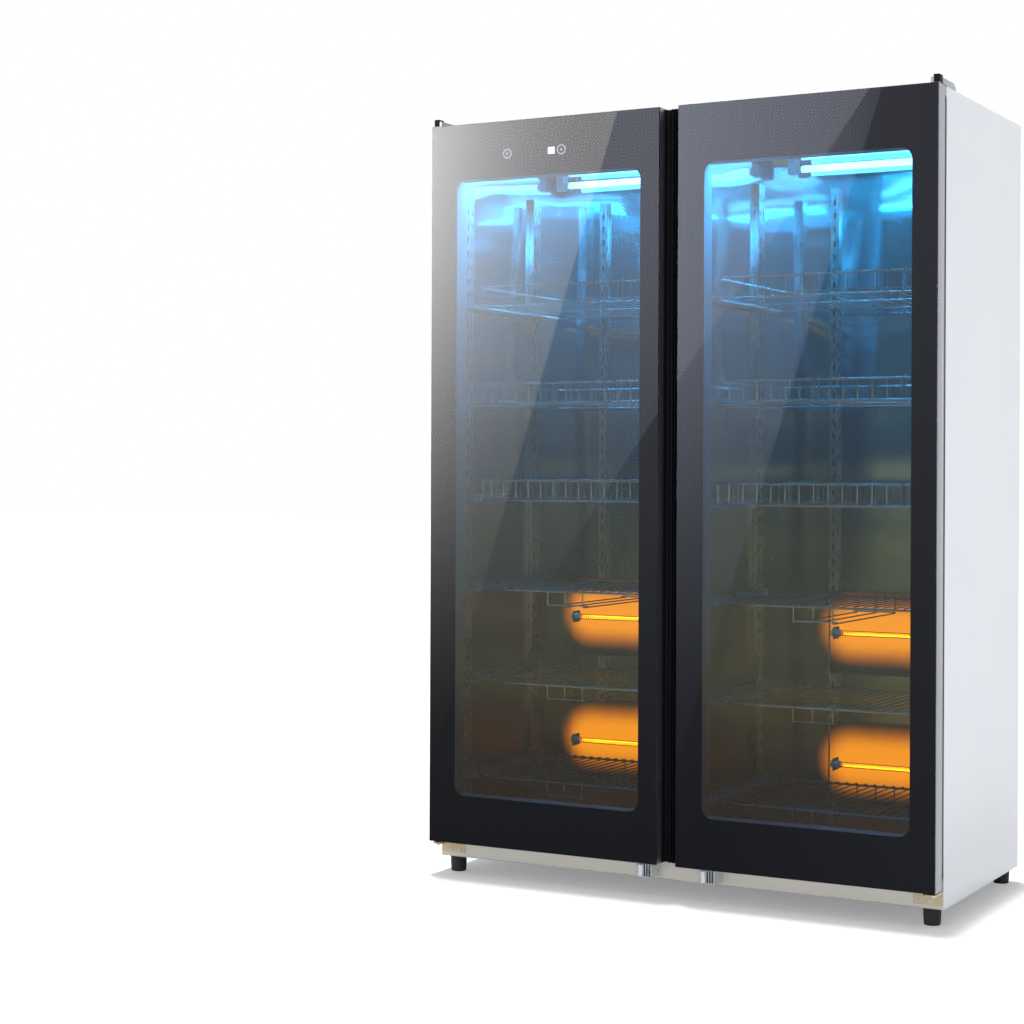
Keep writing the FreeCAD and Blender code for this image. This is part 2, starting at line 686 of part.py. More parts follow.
def door_plugs(side):
    """Nylon plugs in the ends of the stiles; the hinge-side ones are the bushes."""
    edge, near, far, outer = door_limits(side)
    y = (FRONT + GLASS + PRINT + TUBE_WALL, DOOR_BACK - TUBE_WALL)
    length = 22.0
    plugs = []
    for low, flange in ((DOOR_BOTTOM, (TONGUE_Z[1] + RUNNER_GAP, DOOR_BOTTOM)),
                        (DOOR_TOP - length, (DOOR_TOP, ARM_NOSE - RUNNER_GAP))):
        z = (low, low + length)
        plugs.append(box(span(side, edge + TUBE_WALL, near - TUBE_WALL), y, z))
        block = box(span(side, far + TUBE_WALL, outer - TUBE_WALL), y, z)
        collar = rod((side * PIVOT_D, PIVOT_Y, flange[0]), (side * PIVOT_D, PIVOT_Y, flange[1]), 8.0)
        bore = rod((side * PIVOT_D, PIVOT_Y, z[0] - 10), (side * PIVOT_D, PIVOT_Y, z[1] + 10),
                   PIN_R + PIN_PLAY)
        plugs.append(block.fuse(collar).removeSplitter().cut(bore))
    return plugs


def door_grip(side):
    """Black profile down the inner edge, the floor of the finger gap."""
    edge = DOOR_GAP / 2
    front = FRONT + GRIP_DEPTH
    outline = [(edge, front), (5.0, front), (1.0, front + 4), (1.0, DOOR_BACK), (edge, DOOR_BACK)]
    return prism([(side * d, y, DOOR_BOTTOM + 2) for d, y in outline],
                 (0, 0, DOOR_TOP - DOOR_BOTTOM - 4))


def door_gasket(side):
    """Four strips of soft rubber on the back of the door."""
    y = (DOOR_BACK, BODY_FRONT - 0.5)
    near = (8.0, 8.0 + GASKET_WIDTH)
    far = (PIVOT_D + 2 - GASKET_WIDTH, PIVOT_D + 2)
    low = (DOOR_BOTTOM + 11, DOOR_BOTTOM + 11 + GASKET_WIDTH)
    high = (DOOR_TOP - 11 - GASKET_WIDTH, DOOR_TOP - 11)
    return [box(span(side, *near), y, (low[0], high[1])),
            box(span(side, *far), y, (low[0], high[1])),
            box(span(side, near[1], far[0]), y, low),
            box(span(side, near[1], far[0]), y, high)]


# ---------------------------------------------------------------- the whole cabinet
def main():
    """Build every node and write its STEP file."""
    os.makedirs("parts", exist_ok=True)
    base_holes = [rod((x, y, 30), (x, y, 45), 4.0) for x, y in foot_places()]
    arm_holes = shanks(arm_screw_places(), (0, 0, -1), 20.0)
    front_holes = shanks(hinge_screw_places(), (0, 1, 0), 10.0)
    front_holes += shanks(catch_screw_places(), (0, 1, 0), 10.0)
    for side in SIDES:
        name = SIDE_NAME[side]
        panel = side_panel(side).cut(front_holes + arm_holes)
        export("side_panel_" + name, panel)
        export("liner_" + name, liner(side))
    export("top_panel", flat_panel((BODY_TOP - SHEET, BODY_TOP), arm_holes))
    export("base_panel", flat_panel((FOOT_HEIGHT, FOOT_HEIGHT + SHEET), base_holes))
    gland_hole = rod((GLAND_X, BACK_PANEL_Y - 5, GLAND_Z), (GLAND_X, BACK_PANEL_Y + 5, GLAND_Z),
                     GLAND_R)
    back = box((-HALF + SHEET, HALF - SHEET), (BACK_PANEL_Y, BACK_PANEL_Y + SHEET),
               (FOOT_HEIGHT + SHEET, BODY_TOP - SHEET))
    export("back_panel", back.cut([gland_hole] + shanks(back_screw_places(), (0, -1, 0), 2.0)))
    export("front_top_rail", front_rail((CEILING_Z, BODY_TOP), BAY_OUTER, None))
    export("front_bottom_rail", front_rail((FOOT_HEIGHT, FLOOR_Z), HALF - SHEET, front_holes))
    export("centre_post", centre_post())
    export("wall_insulation", insulation())
    export("rack_posts", rack_posts())
    export("rack_runners", rack_runners(-1) + rack_runners(1))
    export("uv_lamps", uv_lamps())
    export("uv_lampholders", lampholders())
    export("heater_tubes", heater_tubes())
    export("heater_ceramic_ends", heater_ends())
    export("heater_brackets", heater_brackets())
    export("heater_reflectors", heater_reflectors())
    export("temperature_sensors", temperature_sensors())
    ballasts, board = electrics()
    export("uv_ballasts", ballasts)
    export("power_board", board)
    export("cable_gland", cable_gland())
    export("top_hinge_arms", [top_hinge_arm(side) for side in SIDES])
    export("top_hinge_caps", [top_hinge_cap(side) for side in SIDES])
    export("hinge_pins", hinge_pins())
    export("bottom_hinge_brackets", [bottom_hinge_bracket(side) for side in SIDES])
    export("cabinet_screws", screws())
    export("catch_housings", [catch_housing(side) for side in SIDES])
    export("catch_magnets", [catch_magnet(side) for side in SIDES])
    export("feet", [foot(*place) for place in foot_places()])
    export("touch_marks", touch_marks())
    export("touch_display", display())
    export("touch_module", touch_module())
    for side in SIDES:
        name = SIDE_NAME[side]
        door = "door_" + name
        export(door + "_glass", door_glass(side))
        export(door + "_border", door_border(side))
        export(door + "_frame", door_frame(side))
        export(door + "_end_plugs", door_plugs(side))
        export(door + "_grip", door_grip(side))
        export(door + "_gasket", door_gasket(side))
        export(door + "_strike", strike(side))
        for number, (kind, rail, base) in enumerate(level_places(side), 1):
            wires = bowl_rack(side, rail, base) if kind == "bowl" else plate_shelf(side, rail)
            rack = "bowl_rack_" if kind == "bowl" else "plate_shelf_"
            export(rack + name + "_" + str(number), wires)


main()
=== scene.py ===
# %% [markdown]
# # A two-door dish sterilizer cabinet
# The engineering model gives every part at its real size and place. This
# notebook dresses it: folded sheet, bent wire, glass, lamps and finishes.
# Everything is in metres, +Z up, with the doors facing -Y.

# %% Load the engineering model
import json
import math

import bmesh
import bpy
import numpy as np
from mathutils import Matrix, Vector


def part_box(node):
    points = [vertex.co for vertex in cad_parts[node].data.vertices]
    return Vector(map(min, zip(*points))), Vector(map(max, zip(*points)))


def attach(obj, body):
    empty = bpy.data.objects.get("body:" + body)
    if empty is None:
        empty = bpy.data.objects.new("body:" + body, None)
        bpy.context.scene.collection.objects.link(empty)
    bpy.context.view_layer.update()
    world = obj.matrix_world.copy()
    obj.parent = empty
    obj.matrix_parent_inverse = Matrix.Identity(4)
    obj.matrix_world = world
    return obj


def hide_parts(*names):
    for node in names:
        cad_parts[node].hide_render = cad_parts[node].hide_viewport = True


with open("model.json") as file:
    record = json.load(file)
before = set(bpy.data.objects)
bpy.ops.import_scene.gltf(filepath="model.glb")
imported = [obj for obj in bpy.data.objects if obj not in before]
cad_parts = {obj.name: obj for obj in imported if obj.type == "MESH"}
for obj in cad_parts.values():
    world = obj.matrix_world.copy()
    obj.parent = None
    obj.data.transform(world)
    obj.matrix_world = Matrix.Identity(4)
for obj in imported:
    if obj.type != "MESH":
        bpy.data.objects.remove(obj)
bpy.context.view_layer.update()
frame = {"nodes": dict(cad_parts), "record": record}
nodes = frame["nodes"]
body_of = {node: name for name, members in frame["record"]["behaviour"]["bodies"].items()
           for node in members}
slot_of = {row["node"]: row["material_slot"] for row in frame["record"]["subparts"]}
SIDES = (-1, 1)
SIDE_NAME = {-1: "left", 1: "right"}
DOORS = [(side, "door_" + SIDE_NAME[side]) for side in SIDES]

# %% [markdown]
# ## The camera
# A long lens at waist height, a good four metres off the right-hand corner.
# It stays level, so that upright edges stay upright, and a small shift lifts
# the frame instead of a tilt.

# %% Set the camera
IMAGE_SIZE = 1024.0
FOCAL_PIXELS = 2063.0
PRINCIPAL = (512.2, 469.6)
CAMERA_AT = Vector((1.8609, -4.2919, 0.9195))
YAW = math.radians(29.29)
ROLL = math.radians(0.25)

level_right = Vector((math.cos(YAW), math.sin(YAW), 0.0))
forward = Vector((-math.sin(YAW), math.cos(YAW), 0.0))
upright = Vector((0.0, 0.0, 1.0))
right = math.cos(ROLL) * level_right + math.sin(ROLL) * upright
up = math.cos(ROLL) * upright - math.sin(ROLL) * level_right
lens = bpy.data.cameras.new("portrait lens")
lens.sensor_width = 36.0
lens.lens = FOCAL_PIXELS / IMAGE_SIZE * lens.sensor_width
lens.shift_x = (IMAGE_SIZE / 2 - PRINCIPAL[0]) / IMAGE_SIZE
lens.shift_y = (PRINCIPAL[1] - IMAGE_SIZE / 2) / IMAGE_SIZE
lens.clip_end = 60.0
camera = bpy.data.objects.new("camera", lens)
camera.matrix_world = Matrix.Translation(CAMERA_AT) @ Matrix(
    (right, up, -forward)).transposed().to_4x4()
bpy.context.scene.collection.objects.link(camera)
bpy.context.scene.camera = camera
print("lens", round(lens.lens, 2), "mm, shift", round(lens.shift_y, 4))

# %% [markdown]
# ## A small kit for shapes
# A shape here is a pair: an array of points, and arrays of faces that count
# into it. Whole arrays are worked out at once. Three moves make nearly
# everything: carry an outline along a path, spin an outline about an axis,
# and round the corners of a line.

# %% Faces of a grid, and many shapes as one
def grid_faces(rows, columns, close_rows=False, close_columns=False):
    """Four-sided faces of a grid of points.

    Point (row, column) has number row * columns + column, and each face joins
    it to its neighbours one row and one column on. A closed way wraps round.
    """
    r = np.arange(rows if close_rows else rows - 1)
    c = np.arange(columns if close_columns else columns - 1)
    a, b = (m.ravel() for m in np.meshgrid(r, c, indexing="ij"))
    a2, b2 = (a + 1) % rows, (b + 1) % columns
    return np.stack([a * columns + b, a2 * columns + b,
                     a2 * columns + b2, a * columns + b2], axis=1)


def join(shapes):
    """Many shapes as one: the points are stacked and the faces' numbers moved on."""
    starts = np.cumsum([0] + [len(points) for points, _ in shapes[:-1]])
    points = np.concatenate([points for points, _ in shapes])
    faces = [group + start for (_, groups), start in zip(shapes, starts) for group in groups]
    return points, faces


def mirror(shape, side):
    """The shape, or its image across the centre line where side is -1."""
    points, faces = shape
    return points * np.array([side, 1.0, 1.0]), faces


# %% Put a shape into the scene
def piece(name, shape, material, body="cabinet", stands_for=(), slot=None):
    """A mesh object from a shape, riding on a body.

    Faces turn to point outwards, and edges whose faces meet at more than 35
    degrees stay crisp.
    """
    points, groups = shape
    corners = np.concatenate([group.ravel() for group in groups])
    sizes = np.concatenate([np.full(len(group), group.shape[1]) for group in groups])
    mesh = bpy.data.meshes.new(name)
    mesh.vertices.add(len(points))
    mesh.vertices.foreach_set("co", np.ascontiguousarray(points, np.float32).ravel())
    mesh.loops.add(len(corners))
    mesh.loops.foreach_set("vertex_index", corners.astype(np.int32))
    mesh.polygons.add(len(sizes))
    mesh.polygons.foreach_set("loop_start", (np.cumsum(sizes) - sizes).astype(np.int32))
    mesh.update(calc_edges=True)
    return settle(name, mesh, material, body, stands_for, slot, 35.0)


def settle(name, mesh, material, body, stands_for, slot, sharp):
    """Turns a mesh's faces outwards, shades it and links it as a riding piece."""
    work = bmesh.new()
    work.from_mesh(mesh)
    bmesh.ops.recalc_face_normals(work, faces=work.faces)
    work.to_mesh(mesh)
    work.free()
    mesh.shade_smooth()
    mesh.set_sharp_from_angle(angle=math.radians(sharp))
    mesh.materials.append(material)
    made = bpy.data.objects.new(name, mesh)
    bpy.context.scene.collection.objects.link(made)
    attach(made, body)
    if stands_for:
        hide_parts(*stands_for)
        slot = slot or slot_of[stands_for[0]]
    return made


def softened(node, material, width):
    """A copy of a node with its triangles merged and its sharp edges eased.

    The bevel takes width off each edge that turns by more than 30 degrees.
    """
    mesh = nodes[node].data.copy()
    mesh.materials.clear()
    work = bmesh.new()
    work.from_mesh(mesh)
    bmesh.ops.remove_doubles(work, verts=work.verts, dist=1e-6)
    bmesh.ops.dissolve_limit(work, angle_limit=math.radians(1.0), verts=work.verts,
                             edges=work.edges)
    work.to_mesh(mesh)
    work.free()
    made = settle(node + "_dressed", mesh, material, body_of[node], (node,), None, 40.0)
    bevel = made.modifiers.new("eased edges", "BEVEL")
    bevel.width = width
    bevel.segments = 2
    bevel.limit_method = "ANGLE"
    bevel.use_clamp_overlap = True
    return made


# %% Rounded lines, thick lines and straight lengths
SHEET = 0.0010      # thickness of the folded steel


def rounded(corners, radius, steps=4, closed=True):
    """A line through corners whose turns are arcs.

    The arc leaves each side at radius / tan(half the inner angle) from the
    corner, never past half the side, and sweeps evenly about its centre.
    """
    corners = np.asarray(corners, float)
    line = []
    for i, here in enumerate(corners):
        if not closed and i in (0, len(corners) - 1):
            line.append(here[None])
            continue
        to_last, to_next = corners[i - 1] - here, corners[(i + 1) % len(corners)] - here
        reach = 0.49 * min(np.linalg.norm(to_last), np.linalg.norm(to_next))
        u, v = to_last / np.linalg.norm(to_last), to_next / np.linalg.norm(to_next)
        half = math.acos(np.clip(u @ v, -1, 1)) / 2
        cut = min(radius / math.tan(half), reach)
        middle = here + (u + v) / np.linalg.norm(u + v) * cut / math.cos(half)
        first, last, turn = here + u * cut - middle, here + v * cut - middle, math.pi - 2 * half
        k = np.linspace(0, 1, steps + 1)[:, None]
        line.append(middle + (np.sin((1 - k) * turn) * first + np.sin(k * turn) * last)
                    / math.sin(turn))
    return np.concatenate(line)


def shifted(outline, distance, closed=True):
    """The outline moved sideways: each point goes along the mean normal of its two sides."""
    before, after = np.roll(outline, 1, 0), np.roll(outline, -1, 0)
    if not closed:
        before[0], after[-1] = 2 * outline[0] - outline[1], 2 * outline[-1] - outline[-2]
    a, b = outline - before, after - outline
    a /= np.linalg.norm(a, axis=1)[:, None]
    b /= np.linalg.norm(b, axis=1)[:, None]
    normal = np.stack([a[:, 1] + b[:, 1], -a[:, 0] - b[:, 0]], axis=1)
    normal /= (normal ** 2).sum(1)[:, None] / 2
    return outline + distance * normal


def thick(line, thickness):
    """A closed outline round an open line: one side of it out and the other side back."""
    return np.concatenate([shifted(line, thickness / 2, False),
                           shifted(line, -thickness / 2, False)[::-1]])


def folded(line, bend, steps=4):
    """Outline of a sheet that is folded along a line."""
    return thick(rounded(line, bend, steps, closed=False), SHEET)


def placed(outline, axis, at):
    """A flat outline as points in space, at one value of the axis it faces."""
    return np.insert(outline, axis, at, axis=1)


def length_of(outline, axis, start, end):
    """The outline carried straight along an axis, with both ends closed."""
    count = len(outline)
    points = np.concatenate([placed(outline, axis, start), placed(outline, axis, end)])
    ends = np.arange(2 * count).reshape(2, count)
    return points, [grid_faces(2, count, close_columns=True), ends]


def hollow_length(outline, wall, axis, start, end):
    """A straight hollow bar: the outline outside, the same moved in by its wall inside."""
    inner = shifted(outline, -wall)
    if inner_area(inner) > inner_area(outline):
        inner = shifted(outline, wall)
    rings = [placed(outline, axis, start), placed(outline, axis, end),
             placed(inner, axis, end), placed(inner, axis, start)]
    return np.concatenate(rings), [grid_faces(4, len(outline), True, True)]


def inner_area(outline):
    """Area inside an outline: half the sum of x * next y - next x * y, without its sign."""
    ahead = np.roll(outline, -1, 0)
    return abs((outline[:, 0] * ahead[:, 1] - ahead[:, 0] * outline[:, 1]).sum()) / 2


# %% Slabs, spun shapes and wires
def four_arcs(steps):
    """The corners of a round-cornered rectangle: each point's quarter and its way out."""
    turn = np.linspace(0, math.pi / 2, steps + 1)
    angle = np.concatenate([turn + q * math.pi / 2 for q in range(4)])
    sign = np.repeat([[1, 1], [-1, 1], [-1, -1], [1, -1]], steps + 1, axis=0)
    return sign, np.stack([np.cos(angle), np.sin(angle)], 1)


def slab(low, high, corner, ease):
    """A block with round upright corners and eased ends.

    Rings of the same rounded rectangle are stacked in height; near each end
    they draw in by ease * (1 - sin t) at a depth of ease * (1 - cos t).
    """
    low, high = np.minimum(low, high), np.maximum(low, high)
    half, middle = (high - low)[:2] / 2, (high + low)[:2] / 2
    corner = min(corner, 0.98 * half.min())
    t = np.linspace(0, math.pi / 2, 3)
    inset = ease * np.concatenate([1 - np.sin(t), (1 - np.sin(t))[::-1]])
    rise = ease * (1 - np.cos(t))
    height = np.concatenate([low[2] + rise, (high[2] - rise)[::-1]])
    sign, arm = four_arcs(4)
    radius = np.maximum(corner - inset, corner * 0.3)[:, None, None]
    ring = middle + sign * (half - corner) + arm * radius
    count = ring.shape[1]
    points = placed(ring.reshape(-1, 2), 2, np.repeat(height, count))
    rings = len(height)
    ends = np.arange(rings * count).reshape(rings, count)[[0, -1]]
    return points, [grid_faces(rings, count, close_columns=True), ends]


def spun(profile, centre, axis, sides):
    """A profile of (radius, height) turned about an axis through centre, its ends closed."""
    profile = np.asarray(profile, float)
    angle = np.arange(sides) * 2 * math.pi / sides
    ring = np.stack([np.cos(angle), np.sin(angle)], 1)
    flat = profile[:, None, :1] * ring
    height = np.repeat(profile[:, 1], sides)
    points = np.insert(flat.reshape(-1, 2), axis, height, axis=1) + np.asarray(centre, float)
    ends = np.arange(len(profile) * sides).reshape(len(profile), sides)[[0, -1]]
    return points, [grid_faces(len(profile), sides, close_columns=True), ends]


def turned_ring(profile, centre, axis, sides):
    """A profile that closes on itself, turned about an axis, so it has no ends."""
    points, faces = spun(profile + profile[:1], centre, axis, sides)
    return points, faces[:1]


def wire(path, radius, across, sides, closed=False):
    """A round wire along a path.

    At each point the ring lies in the plane of two directions square to the
    run: across x run, and run x that. The radius may change along the path.
    """
    path = np.asarray(path, float)
    run = np.roll(path, -1, 0) - np.roll(path, 1, 0)
    if not closed:
        run[0], run[-1] = path[1] - path[0], path[-1] - path[-2]
    run /= np.linalg.norm(run, axis=1)[:, None]
    first = np.cross(np.broadcast_to(np.asarray(across, float), run.shape), run)
    first /= np.linalg.norm(first, axis=1)[:, None]
    second = np.cross(run, first)
    angle = np.arange(sides) * 2 * math.pi / sides
    size = np.broadcast_to(radius, len(path))[:, None, None]
    ring = first[:, None] * np.cos(angle)[:, None] + second[:, None] * np.sin(angle)[:, None]
    points = (path[:, None] + size * ring).reshape(-1, 3)
    faces = [grid_faces(len(path), sides, close_rows=closed, close_columns=True)]
    if not closed:
        faces.append(np.arange(len(points)).reshape(len(path), sides)[[0, -1]])
    return points, faces


X, Z = (1, 0, 0), (0, 0, 1)
print("shape kit ready")

# %% [markdown]
# ## Finishes
# Each finish is a Principled shader, and what it shares with others comes
# from four small node groups: a cloudy variation, a rolled grain that runs
# one way, a fine orange-peel skin, and an orange glow painted round the
# coils in place of their light. The numbers that stay the same all over a
# surface are set on the shader itself.

# %% Node helpers
def add(tree, kind, inputs=(), **settings):
    """A shader node with its settings, its inputs set to values or linked to sockets."""
    node = tree.nodes.new("ShaderNode" + kind)
    for key, value in settings.items():
        setattr(node, key, value)
    for key, value in dict(inputs).items():
        socket = node.inputs[key]
        if isinstance(value, bpy.types.NodeSocket):
            tree.links.new(value, socket)
        else:
            socket.default_value = value
    return node


def maths(tree, operation, *values):
    """What a Math node makes of values or sockets."""
    return add(tree, "Math", dict(enumerate(values)), operation=operation).outputs[0]


def ramp(tree, value, low, high, start, end, **settings):
    """A ramp from one value to another, held past its ends."""
    return add(tree, "MapRange", {"Value": value, "From Min": low, "From Max": high,
                                  "To Min": start, "To Max": end}, **settings).outputs["Result"]


def blend(tree, factor, a, b):
    """Colour a where the factor is 0, b where it is 1."""
    return add(tree, "Mix", {"Factor": factor, "A": a, "B": b},
               data_type="RGBA").outputs["Result"]


def place(tree):
    """Where a point of the object lies, in metres."""
    return add(tree, "TexCoord").outputs["Object"]


def noise(tree, at, scale, detail):
    """Soft noise at a place, from 0 to 1."""
    return add(tree, "TexNoise", {"Vector": at, "Scale": scale, "Detail": detail}).outputs["Fac"]


def from_middle(tree, x, middle):
    """How far x lies from a middle that both bays share: ||x| - middle|."""
    off = maths(tree, "SUBTRACT", maths(tree, "ABSOLUTE", x), middle)
    return maths(tree, "ABSOLUTE", off)


def feed(tree, shader, **sockets):
    """Links sockets to the shader's inputs of these names."""
    for name, socket in sockets.items():
        tree.links.new(socket, shader.inputs[name.replace("_", " ")])


def paint(red, green, blue):
    """Screen colour, 0 to 255, as the light values a shader takes."""
    shade = np.array([red, green, blue]) / 255.0
    linear = np.where(shade <= 0.04045, shade / 12.92, ((shade + 0.055) / 1.055) ** 2.4)
    return (*linear.tolist(), 1.0)


def new_group(name, inputs, outputs):
    """An empty shader group: its tree, the values it is given and the node of its outputs."""
    tree = bpy.data.node_groups.new(name, "ShaderNodeTree")
    for label, kind, value in inputs:
        socket = tree.interface.new_socket(name=label, in_out="INPUT", socket_type=kind)
        socket.default_value = value
    for label, kind in outputs:
        tree.interface.new_socket(name=label, in_out="OUTPUT", socket_type=kind)
    return tree, tree.nodes.new("NodeGroupInput").outputs, tree.nodes.new("NodeGroupOutput")


FLOAT, COLOUR, VECTOR = "NodeSocketFloat", "NodeSocketColor", "NodeSocketVector"

# %% Group: cloudy variation
cloudy, given, made = new_group(
    "cloudy variation",
    [("Colour", COLOUR, (0.5, 0.5, 0.5, 1)), ("Second colour", COLOUR, (0.4, 0.4, 0.4, 1)),
     ("Scale", FLOAT, 8.0), ("Roughness", FLOAT, 0.4), ("Spread", FLOAT, 0.1)],
    [("Colour", COLOUR), ("Roughness", FLOAT)])
clouds = noise(cloudy, place(cloudy), given["Scale"], 5.0)
swing = maths(cloudy, "SUBTRACT", clouds, 0.5)
feed(cloudy, made, Colour=blend(cloudy, clouds, given["Colour"],
                                given["Second colour"]),
     Roughness=maths(cloudy, "MULTIPLY_ADD", swing, given["Spread"],
                     given["Roughness"]))

# %% Group: rolled grain
grain, given, made = new_group(
    "rolled grain",
    [("Stretch", VECTOR, (1, 1, 1)), ("Scale", FLOAT, 300.0), ("Roughness", FLOAT, 0.3),
     ("Spread", FLOAT, 0.15)],
    [("Roughness", FLOAT), ("Height", FLOAT)])
drawn = add(grain, "VectorMath", {0: place(grain), 1: given["Stretch"]},
            operation="MULTIPLY")
lines = noise(grain, drawn.outputs[0], given["Scale"], 3.0)
swing = maths(grain, "SUBTRACT", lines, 0.5)
feed(grain, made, Height=lines,
     Roughness=maths(grain, "MULTIPLY_ADD", swing, given["Spread"],
                     given["Roughness"]))

# %% Group: fine skin
skin, given, made = new_group("fine skin", [("Scale", FLOAT, 900.0)], [("Height", FLOAT)])
feed(skin, made, Height=noise(skin, place(skin), given["Scale"], 2.0))

# %% Group: painted heat glow
# A glow painted round the coils in place of their light. With u the distance
# past a coil's ends and v the height from a line just above it, each over its
# reach, the glow is 1 inside sqrt(u^2 + v^2) < 0.35 and 0 outside 1.25. Only
# what stands further back than BACK_ZONE gets it.
COIL_MIDDLE = 0.338     # of both bays, from the centre line
PAINTED_GLOW_HALF = 0.118
PAINTED_GLOW_MIDDLE = 0.413     # height half-way between the left bay's two halos
PAINTED_GLOW_GAP_HALF = 0.152
RIGHT_BAY_DROP = 0.0115
BACK_ZONE = 0.2         # only what stands further back glows
painted_glow, given, made = new_group(
    "painted heat glow", [("Reach up", FLOAT, 0.074), ("Reach along", FLOAT, 0.082)],
    [("Amount", FLOAT)])
split = add(painted_glow, "SeparateXYZ", {0: place(painted_glow)}).outputs
past = maths(painted_glow, "SUBTRACT", from_middle(painted_glow, split["X"], COIL_MIDDLE), PAINTED_GLOW_HALF)
u = maths(painted_glow, "DIVIDE", maths(painted_glow, "MAXIMUM", past, 0.0), given["Reach along"])
right_side = maths(painted_glow, "GREATER_THAN", split["X"], 0.0)
level = maths(painted_glow, "MULTIPLY_ADD", right_side, RIGHT_BAY_DROP, split["Z"])
height = maths(painted_glow, "ABSOLUTE", maths(painted_glow, "SUBTRACT", level, PAINTED_GLOW_MIDDLE))
v = maths(painted_glow, "DIVIDE", maths(painted_glow, "SUBTRACT", height, PAINTED_GLOW_GAP_HALF),
          given["Reach up"])
pair = add(painted_glow, "CombineXYZ", {0: u, 1: v})
far = add(painted_glow, "VectorMath", {0: pair.outputs[0]}, operation="LENGTH").outputs["Value"]
fall = ramp(painted_glow, far, 0.35, 1.25, 1.0, 0.0, interpolation_type="SMOOTHSTEP")
feed(painted_glow, made, Amount=maths(painted_glow, "MULTIPLY", fall,
                              maths(painted_glow, "GREATER_THAN", split["Y"], BACK_ZONE)))
print("groups:", [tree.name for tree in bpy.data.node_groups])


# %% Build a material from the groups
def new_material(name, **values):
    """A material with one Principled shader whose plain sockets take these values."""
    material = bpy.data.materials.new(name)
    material.use_nodes = True
    tree = material.node_tree
    shader = tree.nodes["Principled BSDF"]
    for key, value in values.items():
        shader.inputs[key.replace("_", " ")].default_value = value
    return material, tree, shader


def use_group(tree, group, **values):
    """A group node with its inputs set."""
    node = add(tree, "Group", node_tree=group)
    for key, value in values.items():
        node.inputs[key.replace("_", " ").capitalize()].default_value = value
    return node


def bumped(tree, shader, height, strength, distance=0.001):
    """Joins a height to the shader's normal through a bump."""
    bump = add(tree, "Bump", {"Height": height, "Strength": strength, "Distance": distance})
    feed(tree, shader, Normal=bump.outputs["Normal"])


def clouded(name, colour, second, scale=8.0, roughness=0.4, spread=0.1, pores=900.0,
            relief=0.05, distance=0.001, **values):
    """A finish with cloudy colour and roughness and a fine skin."""
    material, tree, shader = new_material(name, **values)
    cloud = use_group(tree, cloudy, colour=paint(*colour), second_colour=paint(*second),
                      scale=scale, roughness=roughness, spread=spread).outputs
    feed(tree, shader, Base_Color=cloud["Colour"], Roughness=cloud["Roughness"])
    surface = use_group(tree, skin, scale=pores)
    bumped(tree, shader, surface.outputs["Height"], relief, distance)
    return material


def grained(name, colour, stretch, scale, roughness, spread=0.15, relief=0.05):
    """A metal finish with a grain that runs one way."""
    material, tree, shader = new_material(name, Base_Color=paint(*colour), Metallic=1.0)
    rolled = use_group(tree, grain, stretch=stretch, scale=scale, roughness=roughness,
                       spread=spread)
    feed(tree, shader, Roughness=rolled.outputs["Roughness"])
    bumped(tree, shader, rolled.outputs["Height"], relief, 0.0002)
    return material


# %% Paint, plastic and rubber
white_enamel = clouded("white enamel", (238, 241, 247), (234, 238, 245), roughness=0.38,
                       spread=0.08, relief=0.06, distance=0.0003, Coat_Weight=0.15,
                       Coat_Roughness=0.2)
black_plastic = clouded("black moulded plastic", (26, 26, 27), (20, 20, 21), scale=40,
                        roughness=0.42, spread=0.1, pores=2500, relief=0.15)
grip_black = clouded("black anodised grip", (12, 13, 18), (9, 10, 14), scale=5, roughness=0.5,
                     spread=0.1, relief=0.03, Specular_IOR_Level=0.15)
white_plastic = clouded("white lampholder plastic", (226, 229, 231), (215, 219, 222), scale=30,
                        roughness=0.45)
black_rubber = clouded("black foot rubber", (30, 30, 31), (42, 42, 43), scale=60,
                       roughness=0.75, spread=0.15, pores=1800, relief=0.3)
seal_rubber = clouded("dark seal rubber", (46, 47, 50), (38, 39, 42), scale=20, roughness=0.6,
                      spread=0.15, pores=1500, relief=0.2)
glazed_ceramic = clouded("glazed ceramic", (236, 230, 214), (222, 212, 190), scale=50,
                         roughness=0.25, spread=0.2, relief=0.04)
wool_board = clouded("mineral wool board", (214, 205, 170), (180, 168, 130), scale=90,
                     roughness=0.95, spread=0.05, pores=600, relief=0.9)
circuit_board = clouded("lacquered board", (34, 92, 58), (28, 78, 50), scale=25,
                        roughness=0.35, spread=0.2, relief=0.1)
ferrite = clouded("dark ferrite", (42, 42, 46), (58, 57, 60), scale=120, roughness=0.6,
                  spread=0.2, pores=2200, relief=0.3)
print("plain finishes:", len(bpy.data.materials))

# %% [markdown]
# Bare metals have a Metallic of 1 and plated ones about a half, and the rails
# are painted cream. They differ in colour and grain. The inner walls are
# polished sheet: nearly a mirror, with the slow swell that thin
# sheet always has, so that the lamp's image wavers as it does in the real bay.
# Low in the bays the sheet is rougher and painted a darker brown, as shade.

